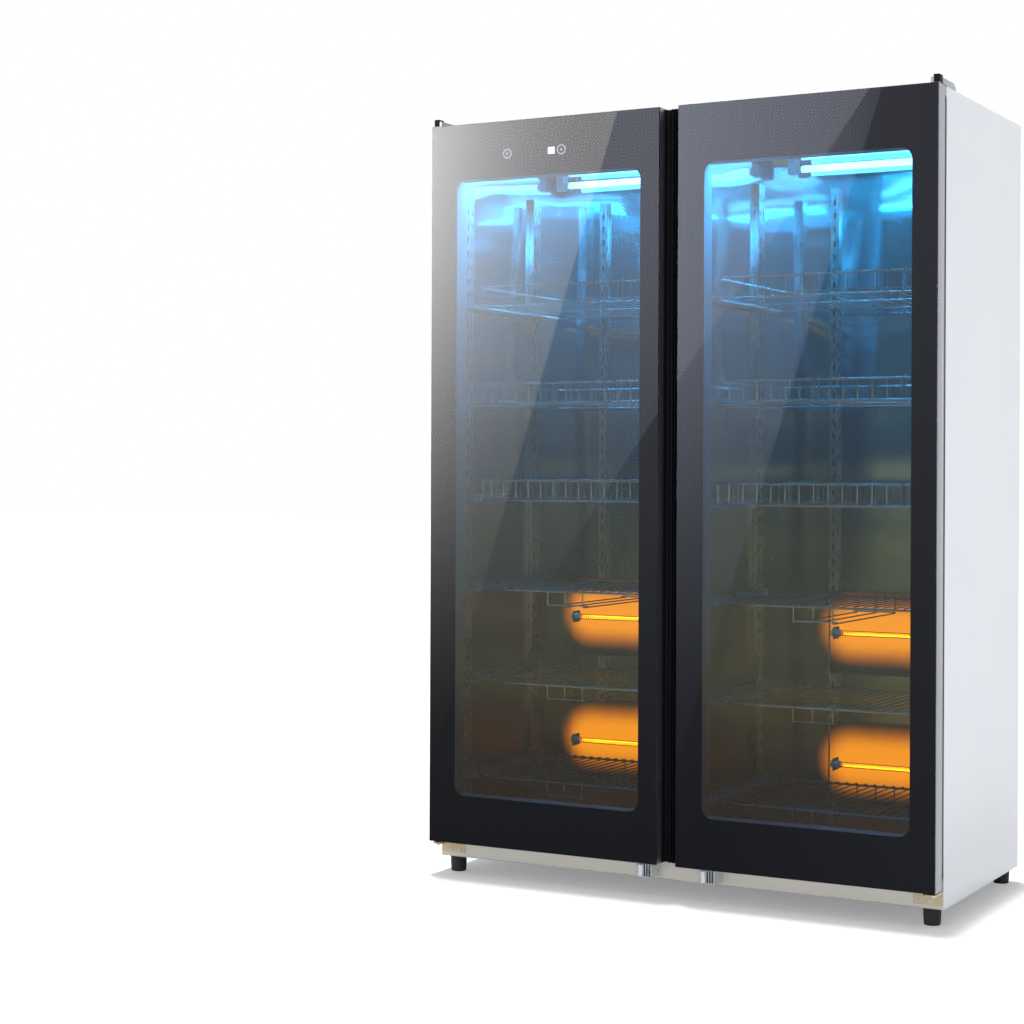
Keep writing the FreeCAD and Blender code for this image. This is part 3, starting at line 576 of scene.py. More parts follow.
# %% Metals
cream_rail = clouded("cream rail paint", (226, 223, 212), (218, 215, 203), roughness=0.42,
                     spread=0.08, relief=0.05, distance=0.0003)
anodised = grained("anodised door profile", (168, 169, 178), (1, 1, 0.01), scale=900,
                   roughness=0.42, spread=0.15, relief=0.04)
galvanised = grained("zinc-coated sheet", (205, 208, 212), (1, 1, 0.05), scale=60,
                     roughness=0.45, spread=0.25)
plain_steel = grained("bright steel", (208, 208, 208), (1, 1, 0.1), scale=500, roughness=0.28)
grey_zinc = clouded("grey hinge plate", (182, 184, 188), (168, 170, 175), scale=30,
                    roughness=0.4, spread=0.1, relief=0.08, Metallic=0.5)
yellow_zinc = clouded("yellow zinc plate", (232, 212, 164), (214, 198, 166), scale=70,
                      roughness=0.35, spread=0.2, relief=0.05, Metallic=0.6)
bright_zinc = clouded("bright zinc plate", (228, 230, 233), (212, 215, 220), scale=60,
                      roughness=0.3, spread=0.2, relief=0.04, Metallic=0.6)
plated_wire = clouded("plated wire", (216, 219, 221), (198, 202, 205), scale=40, roughness=0.2,
                      spread=0.15, relief=0.02, Metallic=1.0)
sensor_steel = clouded("sensor tube", (205, 200, 190), (190, 184, 172), scale=80,
                       roughness=0.25, spread=0.1, Metallic=1.0)


def in_mirrors(tree, shader, strength, reflected):
    """Emission of one strength seen straight on, and of another seen in a mirror:
    a painted reflection, brighter or dimmer than the surface itself.

    It counts glossy bounces, because a ray that bounces off a wall and then
    goes through a quartz tube is no reflection ray any more.
    """
    depth = add(tree, "LightPath").outputs["Glossy Depth"]
    feed(tree, shader, Emission_Strength=ramp(tree, depth, 0.0, 1.0, strength, reflected))


def painted_coil_glow(tree, shader):
    """An orange glow painted round the coils in place of their light, from black
    through amber to bright orange, and painted almost out of reflections.
    """
    painted_glow_colour = add(tree, "ValToRGB", {"Fac": use_group(tree, painted_glow).outputs["Amount"]})
    stops = painted_glow_colour.color_ramp.elements
    stops[0].color, stops[1].color = (0, 0, 0, 1), (1.0, 0.3, 0.0, 1)
    stops.new(0.45).color = (0.44, 0.11, 0.0, 1)
    feed(tree, shader, Emission_Color=painted_glow_colour.outputs["Color"])
    in_mirrors(tree, shader, strength=1.6, reflected=0.05)


# Below LOW_ZONE the sheet is rough and painted a darker, warm brown, which is painted shade;
# above HIGH_ZONE it is bright polish.
LOW_ZONE, HIGH_ZONE = 0.66, 1.2     # heights between which the sheet turns bright
mirror_sheet, tree, shader = new_material("polished bay sheet", Metallic=0.94)
mirror_sheet.cycles.emission_sampling = "NONE"
# The sheet also carries the orange glow painted round the coils in place of their light.
painted_coil_glow(tree, shader)
where = place(tree)
zone = ramp(tree, add(tree, "SeparateXYZ", {0: where}).outputs["Z"], LOW_ZONE, HIGH_ZONE,
            0.0, 1.0, interpolation_type="SMOOTHSTEP")
cloud = use_group(tree, cloudy, colour=paint(206, 212, 216), second_colour=paint(188, 196, 202),
                  scale=4.0, roughness=0.075, spread=0.06).outputs
gloss = add(tree, "Mix", {"Factor": zone, "A": 0.26, "B": cloud["Roughness"]})
feed(tree, shader, Base_Color=blend(tree, zone, paint(150, 140, 120), cloud["Colour"]),
     Roughness=gloss.outputs["Result"])
drawn = add(tree, "VectorMath", {0: where, 1: (0.8, 0.8, 9.0)}, operation="MULTIPLY")
swell = noise(tree, drawn.outputs[0], 1.0, 1.0)
sheet = maths(tree, "MULTIPLY_ADD", noise(tree, where, 4.0, 0.0), 2.0, swell)
bumped(tree, shader, sheet, 1.0, 0.0045)
print("metals done:", len(bpy.data.materials), "materials")

# %% [markdown]
# ## Glass and light
# The pane is real glass with a faint smoky tint. The print behind it is deep
# black and takes its gloss from the pane. The lamps are shaders that glow:
# nearly white in the middle and bluer at the ends, where a tube always fades.
# Their images in the polished walls are painted brighter and a deeper blue.

# %% Door glass and its print
door_glass, tree, shader = new_material(
    "smoky door glass", Metallic=0.0, Transmission_Weight=1.0, IOR=1.5, Roughness=0.0)
feed(tree, shader, Base_Color=blend(tree, noise(tree, place(tree), 0.8, 1.0),
                                    paint(205, 212, 214), paint(200, 208, 212)))
black_print = clouded("black glass print", (27, 28, 34), (24, 25, 31), scale=3.0,
                      roughness=0.6, spread=0.1, relief=0.0, Specular_IOR_Level=0.1)


# %% Finishes that glow
def glowing(name, colour, core, edge, strength, reflected, middle, half_length):
    """A surface that glows from core colour in the middle to edge colour at its ends.

    How far along: ||x| - middle| / half_length, taken through a smooth step.
    """
    material, tree, shader = new_material(name, Base_Color=colour, Roughness=0.3)
    away = from_middle(tree, add(tree, "SeparateXYZ", {0: place(tree)}).outputs["X"], middle)
    part = ramp(tree, away, 0.6 * half_length, half_length, 0.0, 1.0,
                interpolation_type="SMOOTHSTEP")
    tint = blend(tree, part, core, edge)
    feed(tree, shader, Emission_Color=tint)
    in_mirrors(tree, shader, strength, reflected)
    return material, tree, shader, tint


# The tubes' reflections are painted: brighter, and a deeper blue, than the tubes themselves.
lamp_glow, tree, shader, tint = glowing(
    "lit ultraviolet tube", paint(220, 240, 250), (0.55, 0.93, 1.0, 1), (0.25, 0.85, 1.0, 1),
    strength=2.6, reflected=6.5, middle=0.3055, half_length=0.225)
bounced = add(tree, "LightPath").outputs["Is Reflection Ray"]
feed(tree, shader, Emission_Color=blend(tree, bounced, tint, (0.1, 0.56, 1.0, 1)))
# The coil glows as a lamp; its reflections are painted dimmer than the coil.
coil_glow = glowing("glowing heater coil", paint(255, 190, 60), (1.0, 0.62, 0.0, 1),
                    (1.0, 0.4, 0.0, 1), strength=6.0, reflected=0.5, middle=COIL_MIDDLE,
                    half_length=0.14)[0]
coil_glow.cycles.emission_sampling = "NONE"
quartz = clouded("quartz tube", (255, 226, 150), (255, 216, 130), scale=30, roughness=0.05,
                 spread=0.05, relief=0.02, Transmission_Weight=1.0, IOR=1.45)
touch_glow = clouded("lit touch mark", (200, 204, 210), (190, 195, 202),
                     Emission_Color=(0.85, 0.9, 1.0, 1), Emission_Strength=0.36)
display_glow = clouded("lit display", (240, 246, 250), (235, 242, 250),
                       Emission_Color=(0.85, 0.93, 1.0, 1), Emission_Strength=1.0)
print("glass and lamps done:", len(bpy.data.materials), "materials")

# %% [markdown]
# ## The casing
# Each side of the real cabinet is one sheet, folded round at the front and at
# the back. A thick line with round corners, carried up the full height, is
# exactly that, and its bends catch the light down the cabinet's edge.

# %% Side panels
FRONT_FACE = -0.244
REAR_EDGE = 0.300
HALF_WIDTH = 0.590
WALL = 0.030
BEND = 0.0025
panel_low, panel_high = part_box("side_panel_right")

half = SHEET / 2
BAY_FLOOR = 0.137
side_line = [(HALF_WIDTH - WALL + 0.0002, FRONT_FACE + half),
             (HALF_WIDTH - half, FRONT_FACE + half),
             (HALF_WIDTH - half, REAR_EDGE - half), (HALF_WIDTH - 0.024, REAR_EDGE - half)]
side_outline = folded(side_line, BEND, 5)
low_line = [(HALF_WIDTH - half, FRONT_FACE)] + side_line[2:]
low_outline = folded(low_line, BEND, 5)
for side in SIDES:
    shape = join([length_of(side_outline, 2, BAY_FLOOR, panel_high.z),
                  length_of(low_outline, 2, panel_low.z, BAY_FLOOR)])
    name = "side_panel_" + SIDE_NAME[side]
    piece(name + "_sheet", mirror(shape, side), white_enamel, stands_for=(name,))
print("side panels", round(panel_high.z - panel_low.z, 3), "m tall")

# %% Rails and the centre post
rail_low, rail_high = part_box("front_bottom_rail")
for node, radius in (("front_bottom_rail", 0.0016), ("front_top_rail", 0.0012)):
    low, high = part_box(node)
    face = low.y + half
    line = [(high.y, high.z - 3 * half), (face, high.z - 3 * half),
            (face, low.z + 3 * half), (high.y, low.z + 3 * half)]
    piece(node + "_channel", length_of(folded(line, radius), 0, low.x, high.x), cream_rail,
          stands_for=(node,))
low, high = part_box("centre_post")
line = [(low.x + 3 * half, high.y), (low.x + 3 * half, low.y + half),
        (high.x - 3 * half, low.y + half), (high.x - 3 * half, high.y)]
piece("centre_post_channel", length_of(folded(line, 0.0012), 2, low.z, high.z), cream_rail,
      stands_for=("centre_post",))
print("rails", round(rail_high.x - rail_low.x, 3), "m long")


# %% Back panel with pressed ribs
RIB_HALF, RIB_LIFT, RIB_END = 0.022, 0.0025, 0.03


def ribbed_back():
    """The back sheet: a grid whose depth is the sum of rounded ribs.

    Each rib lifts by RIB_LIFT times the product of two smooth steps, one across
    it and one along it, and never past the panels' rear edge.
    """
    low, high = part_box("back_panel")
    x = np.unique(np.concatenate([np.linspace(low.x, high.x, 25),
                                  *[s * (0.50 + np.linspace(0, RIB_END, 7)) for s in SIDES]]))
    centres = np.array([0.30, 0.50, 0.70, 1.03, 1.23, 1.43])
    edges = (centres[:, None] + np.linspace(-RIB_HALF, RIB_HALF, 13)).ravel()
    z = np.unique(np.concatenate([[low.z, high.z], edges]))
    gx, gz = np.meshgrid(x, z, indexing="ij")
    along = np.clip((0.53 - abs(gx)) / RIB_END, 0, 1)
    across = np.clip(1 - abs(gz[..., None] - centres) / RIB_HALF, 0, 1).max(-1)
    lift = RIB_LIFT * (along ** 2 * (3 - 2 * along)) * (across ** 2 * (3 - 2 * across))
    outside = np.stack([gx, high.y + lift, gz], -1).reshape(-1, 3)
    inside = outside - np.array([0, 0.0008, 0])
    n, m = gx.shape
    faces = grid_faces(n, m)
    rim = np.concatenate([np.arange(m), np.arange(1, n) * m + m - 1,
                          (n - 1) * m + np.arange(m - 2, -1, -1), np.arange(n - 2, 0, -1) * m])
    walls = np.stack([rim, np.roll(rim, -1), np.roll(rim, -1) + n * m, rim + n * m], 1)
    return np.concatenate([outside, inside]), [faces, faces[:, ::-1] + n * m, walls]


piece("back_panel_ribbed", ribbed_back(), galvanised, stands_for=("back_panel",))
print("casing done")

# %% [markdown]
# ## The doors
# A door is a full pane with a black print, on a frame of thin-walled
# profile. The stile at the hinge side shows its whole depth from the side,
# with a shallow groove down it; the inner stile ends in a black grip whose
# face is scooped out for the fingers.

# %% Door profiles
PANE_BACK = -0.2957
DOOR_BACK = -0.254
TUBE = 0.002
DOOR_LOW, DOOR_HIGH = 0.077, 1.695
WINDOW_LOW, WINDOW_HIGH = 0.185, 1.570
WINDOW = {-1: (0.0675, 0.525), 1: (0.082, 0.536)}
DOOR_EDGE = 0.022


def stile_outline(inner, outer):
    """The hinge-side tube seen from above: a rectangle with a shallow groove outside."""
    return rounded([(inner, PANE_BACK), (outer, PANE_BACK), (outer, -0.2685),
                    (outer - 0.0012, -0.2675), (outer - 0.0012, -0.2655), (outer, -0.2645),
                    (outer, DOOR_BACK - 0.0016), (inner, DOOR_BACK)], 0.0007, 2)


def rail_tube(low_x, high_x, low_z, high_z):
    """A cross tube between the stiles, seen from its end as a rounded rectangle."""
    outline = rounded([(PANE_BACK, low_z), (DOOR_BACK, low_z), (DOOR_BACK, high_z),
                       (PANE_BACK, high_z)], 0.0008, 3)
    return hollow_length(outline, TUBE, 0, low_x, high_x)


for side, name in DOORS:
    near, far = WINDOW[side]
    hinge_stile = hollow_length(stile_outline(far, HALF_WIDTH), TUBE, 2, DOOR_LOW, DOOR_HIGH)
    plain = rounded([(DOOR_EDGE, PANE_BACK), (near, PANE_BACK), (near, DOOR_BACK),
                     (DOOR_EDGE, DOOR_BACK)], 0.0007, 2)
    grip_stile = hollow_length(plain, TUBE, 2, DOOR_LOW, DOOR_HIGH)
    whole = join([hinge_stile, grip_stile,
                  rail_tube(near + 1e-4, far - 1e-4, WINDOW_HIGH, DOOR_HIGH),
                  rail_tube(near + 1e-4, far - 1e-4, DOOR_LOW, WINDOW_LOW)])
    piece(name + "_profiles", mirror(whole, side), anodised, body=name,
          stands_for=(name + "_frame",))


# %% Grips with a scooped face
def grip_outline():
    """The grip seen from above: its face dips by a half sine between its two lips."""
    t = np.linspace(0, 1, 13)
    face_x = 0.0205 - t * 0.0155
    face_y = -0.2742 + 0.0085 * np.sin(math.pi * t) ** 0.8
    lip = [(DOOR_EDGE, -0.275)]
    nose = rounded([(0.0045, -0.2745), (0.001, -0.2715), (0.001, -0.262)], 0.002, 3, False)
    return np.concatenate([lip, np.stack([face_x, face_y], 1), nose[1:],
                           [(0.001, DOOR_BACK), (DOOR_EDGE, DOOR_BACK)]])


for side, name in DOORS:
    shape = length_of(grip_outline(), 2, DOOR_LOW + 0.002, DOOR_HIGH - 0.002)
    piece(name + "_scooped_grip", mirror(shape, side), grip_black, body=name,
          stands_for=(name + "_grip",))


# %% Seals swept round the doors
def seal(side):
    """A bellows seal: a closed profile swept round a rounded rectangle.

    A profile point (s, y) follows the rectangle grown outwards by s, with its
    corner radius grown by the same, so the corners stay parallel.
    """
    profile = rounded([(-0.007, -0.2542), (0.0112, -0.2555), (0.0113, -0.2446),
                       (0.0092, -0.2446), (0.0092, -0.2512), (0.0035, -0.2498),
                       (0.0065, -0.2478), (0.006, -0.2447), (-0.006, -0.2447),
                       (-0.0065, -0.2478), (-0.0035, -0.2498), (-0.007, -0.2512)], 0.0008, 2)
    low, high = np.array([0.015, 0.095]), np.array([0.5785, 1.677])
    middle, half = (low + high) / 2, (high - low) / 2
    sign, arm = four_arcs(5)
    corner = 0.0085
    flat = middle + sign * (half - corner) + (corner + profile[:, :1, None]) * arm
    depth = np.repeat(profile[:, 1], flat.shape[1])
    points = np.insert(flat.reshape(-1, 2), 1, depth, axis=1)
    return mirror((points, [grid_faces(len(profile), len(arm), True, True)]), side)


for side, name in DOORS:
    piece(name + "_seal", seal(side), seal_rubber, body=name, stands_for=(name + "_gasket",))
    softened(name + "_end_plugs", black_plastic, 0.0004)
    softened(name + "_strike", bright_zinc, 0.0004)
print("doors done")

# %% Touch marks
TOUCH_X, TOUCH_Z = (-0.396, -0.260), 1.622
MARK_Y = (-0.29606, PANE_BACK)
RING, DOT = (0.0082, 0.0113), 0.0030    # radii
marks = []
for x in TOUCH_X:
    ring = [(RING[0], MARK_Y[0]), (RING[1], MARK_Y[0]), (RING[1], MARK_Y[1]),
            (RING[0], MARK_Y[1])]
    marks.append(turned_ring(ring, (x, 0, TOUCH_Z), 1, 48))
    marks.append(spun([(DOT, MARK_Y[0]), (DOT, MARK_Y[1])], (x, 0, TOUCH_Z), 1, 24))
piece("touch_rings", join(marks), touch_glow, body="door_left", stands_for=("touch_marks",))
print("touch marks:", len(marks) // 2)

# %% [markdown]
# ## Hinges, catches and feet
# The small hardware keeps its exact engineering shape with eased edges,
# because a knife-sharp edge never catches the light as a real fold does. The
# magnets and the rubber feet get the layers and ribs that they really have.

# %% Hinges and their fittings
softened("top_hinge_arms", grey_zinc, 0.0012)
cap_low, cap_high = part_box("top_hinge_caps")
CAP_WIDTH = 0.0135
cap = slab((cap_high.x - CAP_WIDTH, cap_low.y, cap_low.z), cap_high, 0.003, 0.001)
piece("hinge_caps", join([mirror(cap, side) for side in SIDES]), grip_black,
      stands_for=("top_hinge_caps",))
softened("bottom_hinge_brackets", yellow_zinc, 0.0007)
softened("catch_housings", bright_zinc, 0.0004)
softened("cable_gland", black_plastic, 0.0008)


# %% Magnets between pole plates
POLE_PLATE = 0.0018


def magnet_stack(low, high):
    """Ferrite blocks and taller steel plates, side by side along X."""
    plates, blocks = [], []
    width = (high.x - low.x - 4 * POLE_PLATE) / 3  # what the four plates leave
    for i in range(4):
        x = low.x + i * (width + POLE_PLATE)
        plates.append(slab((x, low.y, low.z), (x + POLE_PLATE, high.y, high.z),
                           0.0008, 0.0003))
        if i < 3:
            blocks.append(slab((x + POLE_PLATE, low.y + 0.001, low.z),
                               (x + POLE_PLATE + width, high.y - 0.001, high.z - 0.0015),
                               0.0008, 0.0003))
    return join(plates), join(blocks)


low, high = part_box("catch_magnets")
MAGNET_WIDTH = 0.0195
stacks = [magnet_stack(Vector((x, low.y, low.z)), Vector((x + MAGNET_WIDTH, high.y, high.z)))
          for x in (low.x, high.x - MAGNET_WIDTH)]
piece("catch_pole_plates", join([plates for plates, _ in stacks]), bright_zinc,
      slot="bright_zinc")
piece("catch_ferrites", join([blocks for _, blocks in stacks]), ferrite,
      stands_for=("catch_magnets",))

# %% Rubber feet
low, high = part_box("feet")
FOOT_TOP = 0.019
feet = []
for x in (low.x + FOOT_TOP, high.x - FOOT_TOP):
    for y in (low.y + FOOT_TOP, high.y - FOOT_TOP):
        profile = [(0.0075, 0.0), (0.0155, 0.0), (0.0168, 0.0012), (0.0172, 0.004),
                   (0.0179, 0.016), (0.0183, 0.0262), (0.0176, 0.0272), (0.0176, 0.0284),
                   (0.0186, 0.0292), (0.019, 0.0345), (0.0184, 0.036), (0.0042, 0.036),
                   (0.0042, 0.012), (0.0075, 0.0118)]
        feet.append(turned_ring(profile, (x, y, 0), 2, 40))
piece("feet_turned", join(feet), black_rubber, stands_for=("feet",))
print("hardware done")

# %% [markdown]
# ## Racks of bent wire
# A real basket is a few loops of thick wire with thin wires welded across:
# each thin wire runs down the front, along the floor and up the back in one
# piece. Here each one is a rounded line with a round section, so the bends
# are true bends.

# %% Rack sizes
RACK_NEAR, RACK_FAR = 0.064, 0.524
RACK_FRONT, RACK_BACK = -0.200, 0.190
FRAME_WIRE, THIN_WIRE = 0.0025, 0.0015
LOOP_CORNER = 0.012
MIDDLE = (RACK_NEAR + RACK_FAR) / 2
ROW_HALF = (RACK_FAR - RACK_NEAR) / 2 - 0.008


def spread(pitch, reach):
    """Evenly spaced places either side of the rack's middle."""
    count = int(reach // pitch)
    return MIDDLE + pitch * np.arange(-count, count + 1)


def loop(z):
    """A closed rectangle of frame wire at one height."""
    near, far = RACK_NEAR + FRAME_WIRE, RACK_FAR - FRAME_WIRE
    corners = [(near, RACK_FRONT, z), (far, RACK_FRONT, z), (far, RACK_BACK, z),
               (near, RACK_BACK, z)]
    return wire(rounded(corners, LOOP_CORNER, 5), FRAME_WIRE, Z, 8, closed=True)


def across(x, corners, bend=0.006):
    """A thin wire in the plane of one x, through (y, z) corners."""
    return wire(placed(rounded(corners, bend, 4, closed=False), 0, x), THIN_WIRE, X, 6)


def pin(x, y, base, tip):
    """An upright pin with a rounded tip."""
    height = np.array([base, tip - 0.0015, tip - 0.0007, tip - 0.0002, tip])
    size = THIN_WIRE * np.array([1, 1, 0.87, 0.5, 0.1])
    line = np.stack([np.full(5, x), np.full(5, y), height], 1)
    return wire(line, size, X, 6)


# %% The two kinds of rack
def bowl_basket(rail, base):
    """Two loops, U-shaped wires from rail to rail, side uprights and two rows of pins."""
    lift = FRAME_WIRE + THIN_WIRE
    low = base + lift
    front, back = RACK_FRONT - lift + 0.0004, RACK_BACK + lift - 0.0004
    parts = [loop(rail), loop(base)]
    corners = [(front, rail + 0.001), (front, base + 0.002), (RACK_FRONT + 0.004, low),
               (RACK_BACK - 0.004, low), (back, base + 0.002), (back, rail + 0.001)]
    parts += [across(x, corners) for x in spread(0.032, ROW_HALF)]
    for x in (RACK_NEAR + FRAME_WIRE, RACK_FAR - FRAME_WIRE):
        for y in (RACK_FRONT + 0.020, -0.070, 0.060, RACK_BACK - 0.020):
            ends = [(x, y, base), (x, y, rail)]
            parts.append(wire(ends, FRAME_WIRE * 0.9, X, 8))
    middle = (RACK_FRONT + RACK_BACK) / 2
    for x in spread(0.064, ROW_HALF):
        parts += [pin(x, y, low, rail + 0.010) for y in (RACK_FRONT + 0.020, middle)]
    parts.append(wire([(RACK_NEAR + 0.004, middle, low - 0.003),
                       (RACK_FAR - 0.004, middle, low - 0.003)], THIN_WIRE, Z, 6))
    return join(parts)


def plate_rack(rail):
    """One loop with close wires over it, and a stiffening truss under its middle."""
    lift = FRAME_WIRE + THIN_WIRE
    top, low = rail + lift, rail - 0.034
    parts = [loop(rail)]
    for x in spread(0.022, ROW_HALF):
        parts.append(across(x, [(RACK_FRONT - 0.0035, rail - 0.001), (RACK_FRONT - 0.0025, top),
                                (RACK_BACK + 0.0025, top), (RACK_BACK + 0.0035, rail - 0.001)],
                            bend=0.003))
    front, back = RACK_FRONT - lift, RACK_BACK + lift
    for x in spread(0.044, 0.050):
        parts.append(across(x, [(front, rail), (front, low), (back, low), (back, rail)]))
    for y in (RACK_FRONT + 0.010, RACK_BACK - 0.010):
        parts.append(wire([(MIDDLE - 0.050, y, low + 0.003), (MIDDLE + 0.050, y, low + 0.003)],
                          THIN_WIRE, Z, 6))
    return join(parts)


# %% Twelve racks from two recipes
BASKET_DEPTH = 0.045
for node in sorted(nodes):
    if node.startswith(("bowl_rack", "plate_shelf")):
        side = -1 if "left" in node else 1
        low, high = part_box(node)
        if node.startswith("bowl_rack"):
            rail = high.z - 0.010
            shape = bowl_basket(rail, rail - BASKET_DEPTH)
        else:
            shape = plate_rack(high.z - 2 * THIN_WIRE - FRAME_WIRE)
        piece(node + "_wires", mirror(shape, side), plated_wire, body=node, stands_for=(node,))

# %% [markdown]
# ## Posts inside the bays
# The runners hang on slotted posts. A slotted face is a grid with cells left
# out, and each hole gets its own walls, so the slots are real holes.

# %% Slotted posts
POST_LOW, POST_HIGH = 0.145, 1.577
SLOT_PITCH, SLOT_HEIGHT = 0.032, 0.014
POST_SHEET, POST_DEPTH = 0.0012, 0.012
POST_OUTER, POST_INNER, POST_BACK_Y = 0.548, 0.040, 0.253


def slotted(width, columns):
    """A flat strip with columns of slots, as points (across, depth, height).

    Rows alternate metal and slot. Cells of a slot row in a slot column are
    left out, and the sheet's two faces are joined round each hole.
    """
    half = width / 2
    cuts = [-half] + [c + d for c in columns for d in (-0.0025, 0.0025)] + [half]
    count = int((POST_HIGH - POST_LOW - 0.02) // SLOT_PITCH)
    starts = POST_LOW + 0.015 + SLOT_PITCH * np.arange(count)
    heights = np.sort(np.concatenate([[POST_LOW, POST_HIGH], starts, starts + SLOT_HEIGHT]))
    gx, gz = np.meshgrid(cuts, heights, indexing="ij")
    n, m = gx.shape
    front = np.stack([gx, np.zeros_like(gx), gz], -1).reshape(-1, 3)
    solid = np.ones((n - 1, m - 1), bool)
    solid[1::2, 1::2] = False
    faces = grid_faces(n, m)[solid.ravel()]
    edges = np.concatenate([faces[:, [i, (i + 1) % 4]] for i in range(4)])
    key = np.sort(edges, 1)
    _, first, times = np.unique(key, axis=0, return_index=True, return_counts=True)
    rim = edges[first[times == 1]]
    walls = np.concatenate([rim, rim[:, ::-1] + n * m], axis=1)
    back = front + np.array([0, POST_SHEET, 0])
    return np.concatenate([front, back]), [faces, faces[:, ::-1] + n * m, walls]


def post(width, columns):
    """A slotted face with two side walls, facing -Y."""
    half = width / 2
    side_walls = [slab((s * half, 0.0002, POST_LOW), (s * (half - 0.0008), POST_DEPTH, POST_HIGH),
                       0.0003, 0.0002) for s in SIDES]
    return join([slotted(width, columns)] + side_walls)


def turned_to(shape, direction, origin):
    """The shape turned so that its face looks along +X or -X, or left facing -Y, and moved."""
    points, faces = shape
    x, y, z = points.T
    spin = {"-y": (x, y, z), "+x": (-y, x, z), "-x": (y, -x, z)}[direction]
    return np.stack(spin, 1) + np.asarray(origin), faces


side_post = post(0.034, (-0.008, 0.008))
back_post = post(0.020, (0.0,))
posts = []
for side in SIDES:
    outwards = "-x" if side > 0 else "+x"
    inwards = "+x" if side > 0 else "-x"
    for y in (-0.198, 0.125):
        posts.append(turned_to(side_post, outwards, (side * POST_OUTER, y, 0)))
        posts.append(turned_to(side_post, inwards, (side * POST_INNER, y, 0)))
    for d in (0.168, 0.433):
        posts.append(turned_to(back_post, "-y", (side * d, POST_BACK_Y, 0)))
piece("rack_posts_slotted", join(posts), plain_steel, stands_for=("rack_posts",))
print("posts:", len(posts))

# %% [markdown]
# ## Lamps and heaters
# The ultraviolet tube is a glass tube with metal caps. A quartz heater is a
# clear tube with a glowing coil in it, held by ceramic ends in front of a
# tray. The orange glow on the tray and on the wall is painted in place of the
# coil's light, and it fades away from the coil.

# %% Ultraviolet tubes
low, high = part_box("uv_lamps")
LAMP_NEAR, LAMP_FAR = 0.085, 0.526
lamp_z, lamp_r = (low.z + high.z) / 2, (high.z - low.z) / 2
LAMP_ROWS = (low.y + lamp_r, high.y - lamp_r)
tubes, caps = [], []
for side, lamp_y in ((side, y) for side in SIDES for y in LAMP_ROWS):
    glass = [(lamp_r * 0.5, LAMP_NEAR + 0.008), (lamp_r, LAMP_NEAR + 0.011),
             (lamp_r, LAMP_FAR - 0.011), (lamp_r * 0.5, LAMP_FAR - 0.008)]
    tubes.append(mirror(spun(glass, (0, lamp_y, lamp_z), 0, 28), side))
    for start, end in ((LAMP_NEAR, LAMP_NEAR + 0.012), (LAMP_FAR - 0.012, LAMP_FAR)):
        cap = [(lamp_r * 0.88, start), (lamp_r, start + 0.001), (lamp_r, end - 0.001),
               (lamp_r * 0.88, end)]
        caps.append(mirror(spun(cap, (0, lamp_y, lamp_z), 0, 28), side))
piece("uv_tubes_lit", join(tubes), lamp_glow, stands_for=("uv_lamps",))
piece("uv_tube_caps", join(caps), bright_zinc, slot="bright_zinc")
softened("uv_lampholders", white_plastic, 0.0012)

# %% Quartz heaters
HEATER_NEAR, HEATER_FAR = 0.198, 0.478
HEATER_Y = 0.230
HEATER_Z = {-1: (0.558, 0.254), 1: (0.546, 0.243)}
TURNS, TURN_STEPS = 46, 10
coils, quartzes = [], []
t = np.linspace(0, 1, TURNS * TURN_STEPS + 1)
for side in SIDES:
    for z in HEATER_Z[side]:
        angle = 2 * math.pi * TURNS * t
        line = np.stack([HEATER_NEAR + 0.004 + t * (HEATER_FAR - HEATER_NEAR - 0.008),
                         HEATER_Y + 0.0035 * np.cos(angle), z + 0.0035 * np.sin(angle)], 1)
        coils.append(mirror(wire(line, 0.0009, X, 5), side))
        tube = [(0.0048, HEATER_NEAR), (0.006, HEATER_NEAR), (0.006, HEATER_FAR),
                (0.0048, HEATER_FAR)]
        quartzes.append(mirror(turned_ring(tube, (0, HEATER_Y, z), 0, 24), side))
piece("heater_coils", join(coils), coil_glow, slot="quartz")
piece("heater_quartz", join(quartzes), quartz, stands_for=("heater_tubes",))
softened("heater_ceramic_ends", glazed_ceramic, 0.0012)
softened("heater_brackets", galvanised, 0.0003)


# %% Reflector trays that carry the painted heat glow
def tray_with_painted_glow():
    """Polished tray with an orange glow painted round each coil in place of its light."""
    material, tree, shader = new_material("reflector with painted glow", Metallic=1.0)
    material.cycles.emission_sampling = "NONE"
    painted_coil_glow(tree, shader)
    cloud = use_group(tree, cloudy, colour=paint(104, 94, 80), second_colour=paint(90, 82, 70),
                      scale=12.0, roughness=0.45, spread=0.15).outputs
    feed(tree, shader, Base_Color=cloud["Colour"], Roughness=cloud["Roughness"])
    return material


softened("heater_reflectors", tray_with_painted_glow(), 0.0008)
print("lamps and heaters done")

# %% [markdown]
# ## The parts that keep their engineering shape
# Whatever is already right only needs its finish.

# %% Finish the remaining nodes
KEEPS = {
    "liner_left": mirror_sheet, "liner_right": mirror_sheet, "rack_runners": plain_steel,
    "top_panel": white_enamel, "base_panel": galvanised, "wall_insulation": wool_board,
    "uv_ballasts": white_enamel, "power_board": circuit_board, "hinge_pins": plain_steel,
    "cabinet_screws": bright_zinc, "temperature_sensors": sensor_steel,
    "touch_module": circuit_board, "touch_display": display_glow,
    "door_left_glass": door_glass, "door_right_glass": door_glass,
    "door_left_border": black_print, "door_right_border": black_print,
}
for node, material in KEEPS.items():
    nodes[node].data.materials.clear()
    nodes[node].data.materials.append(material)
print(len(KEEPS), "nodes finished")

# %% [markdown]
# ## The studio
# A white floor that runs on to the horizon, one soft sun almost overhead for
# the shadow, a soft box to the right and a low fill in front. Only reflections
# see the boards: a tall one whose slanting bands show in the glass, and one on
# the floor that carries them on. A dim room is what the polished walls see out
# through the doors, and a small black flag deepens the shadow at the right.

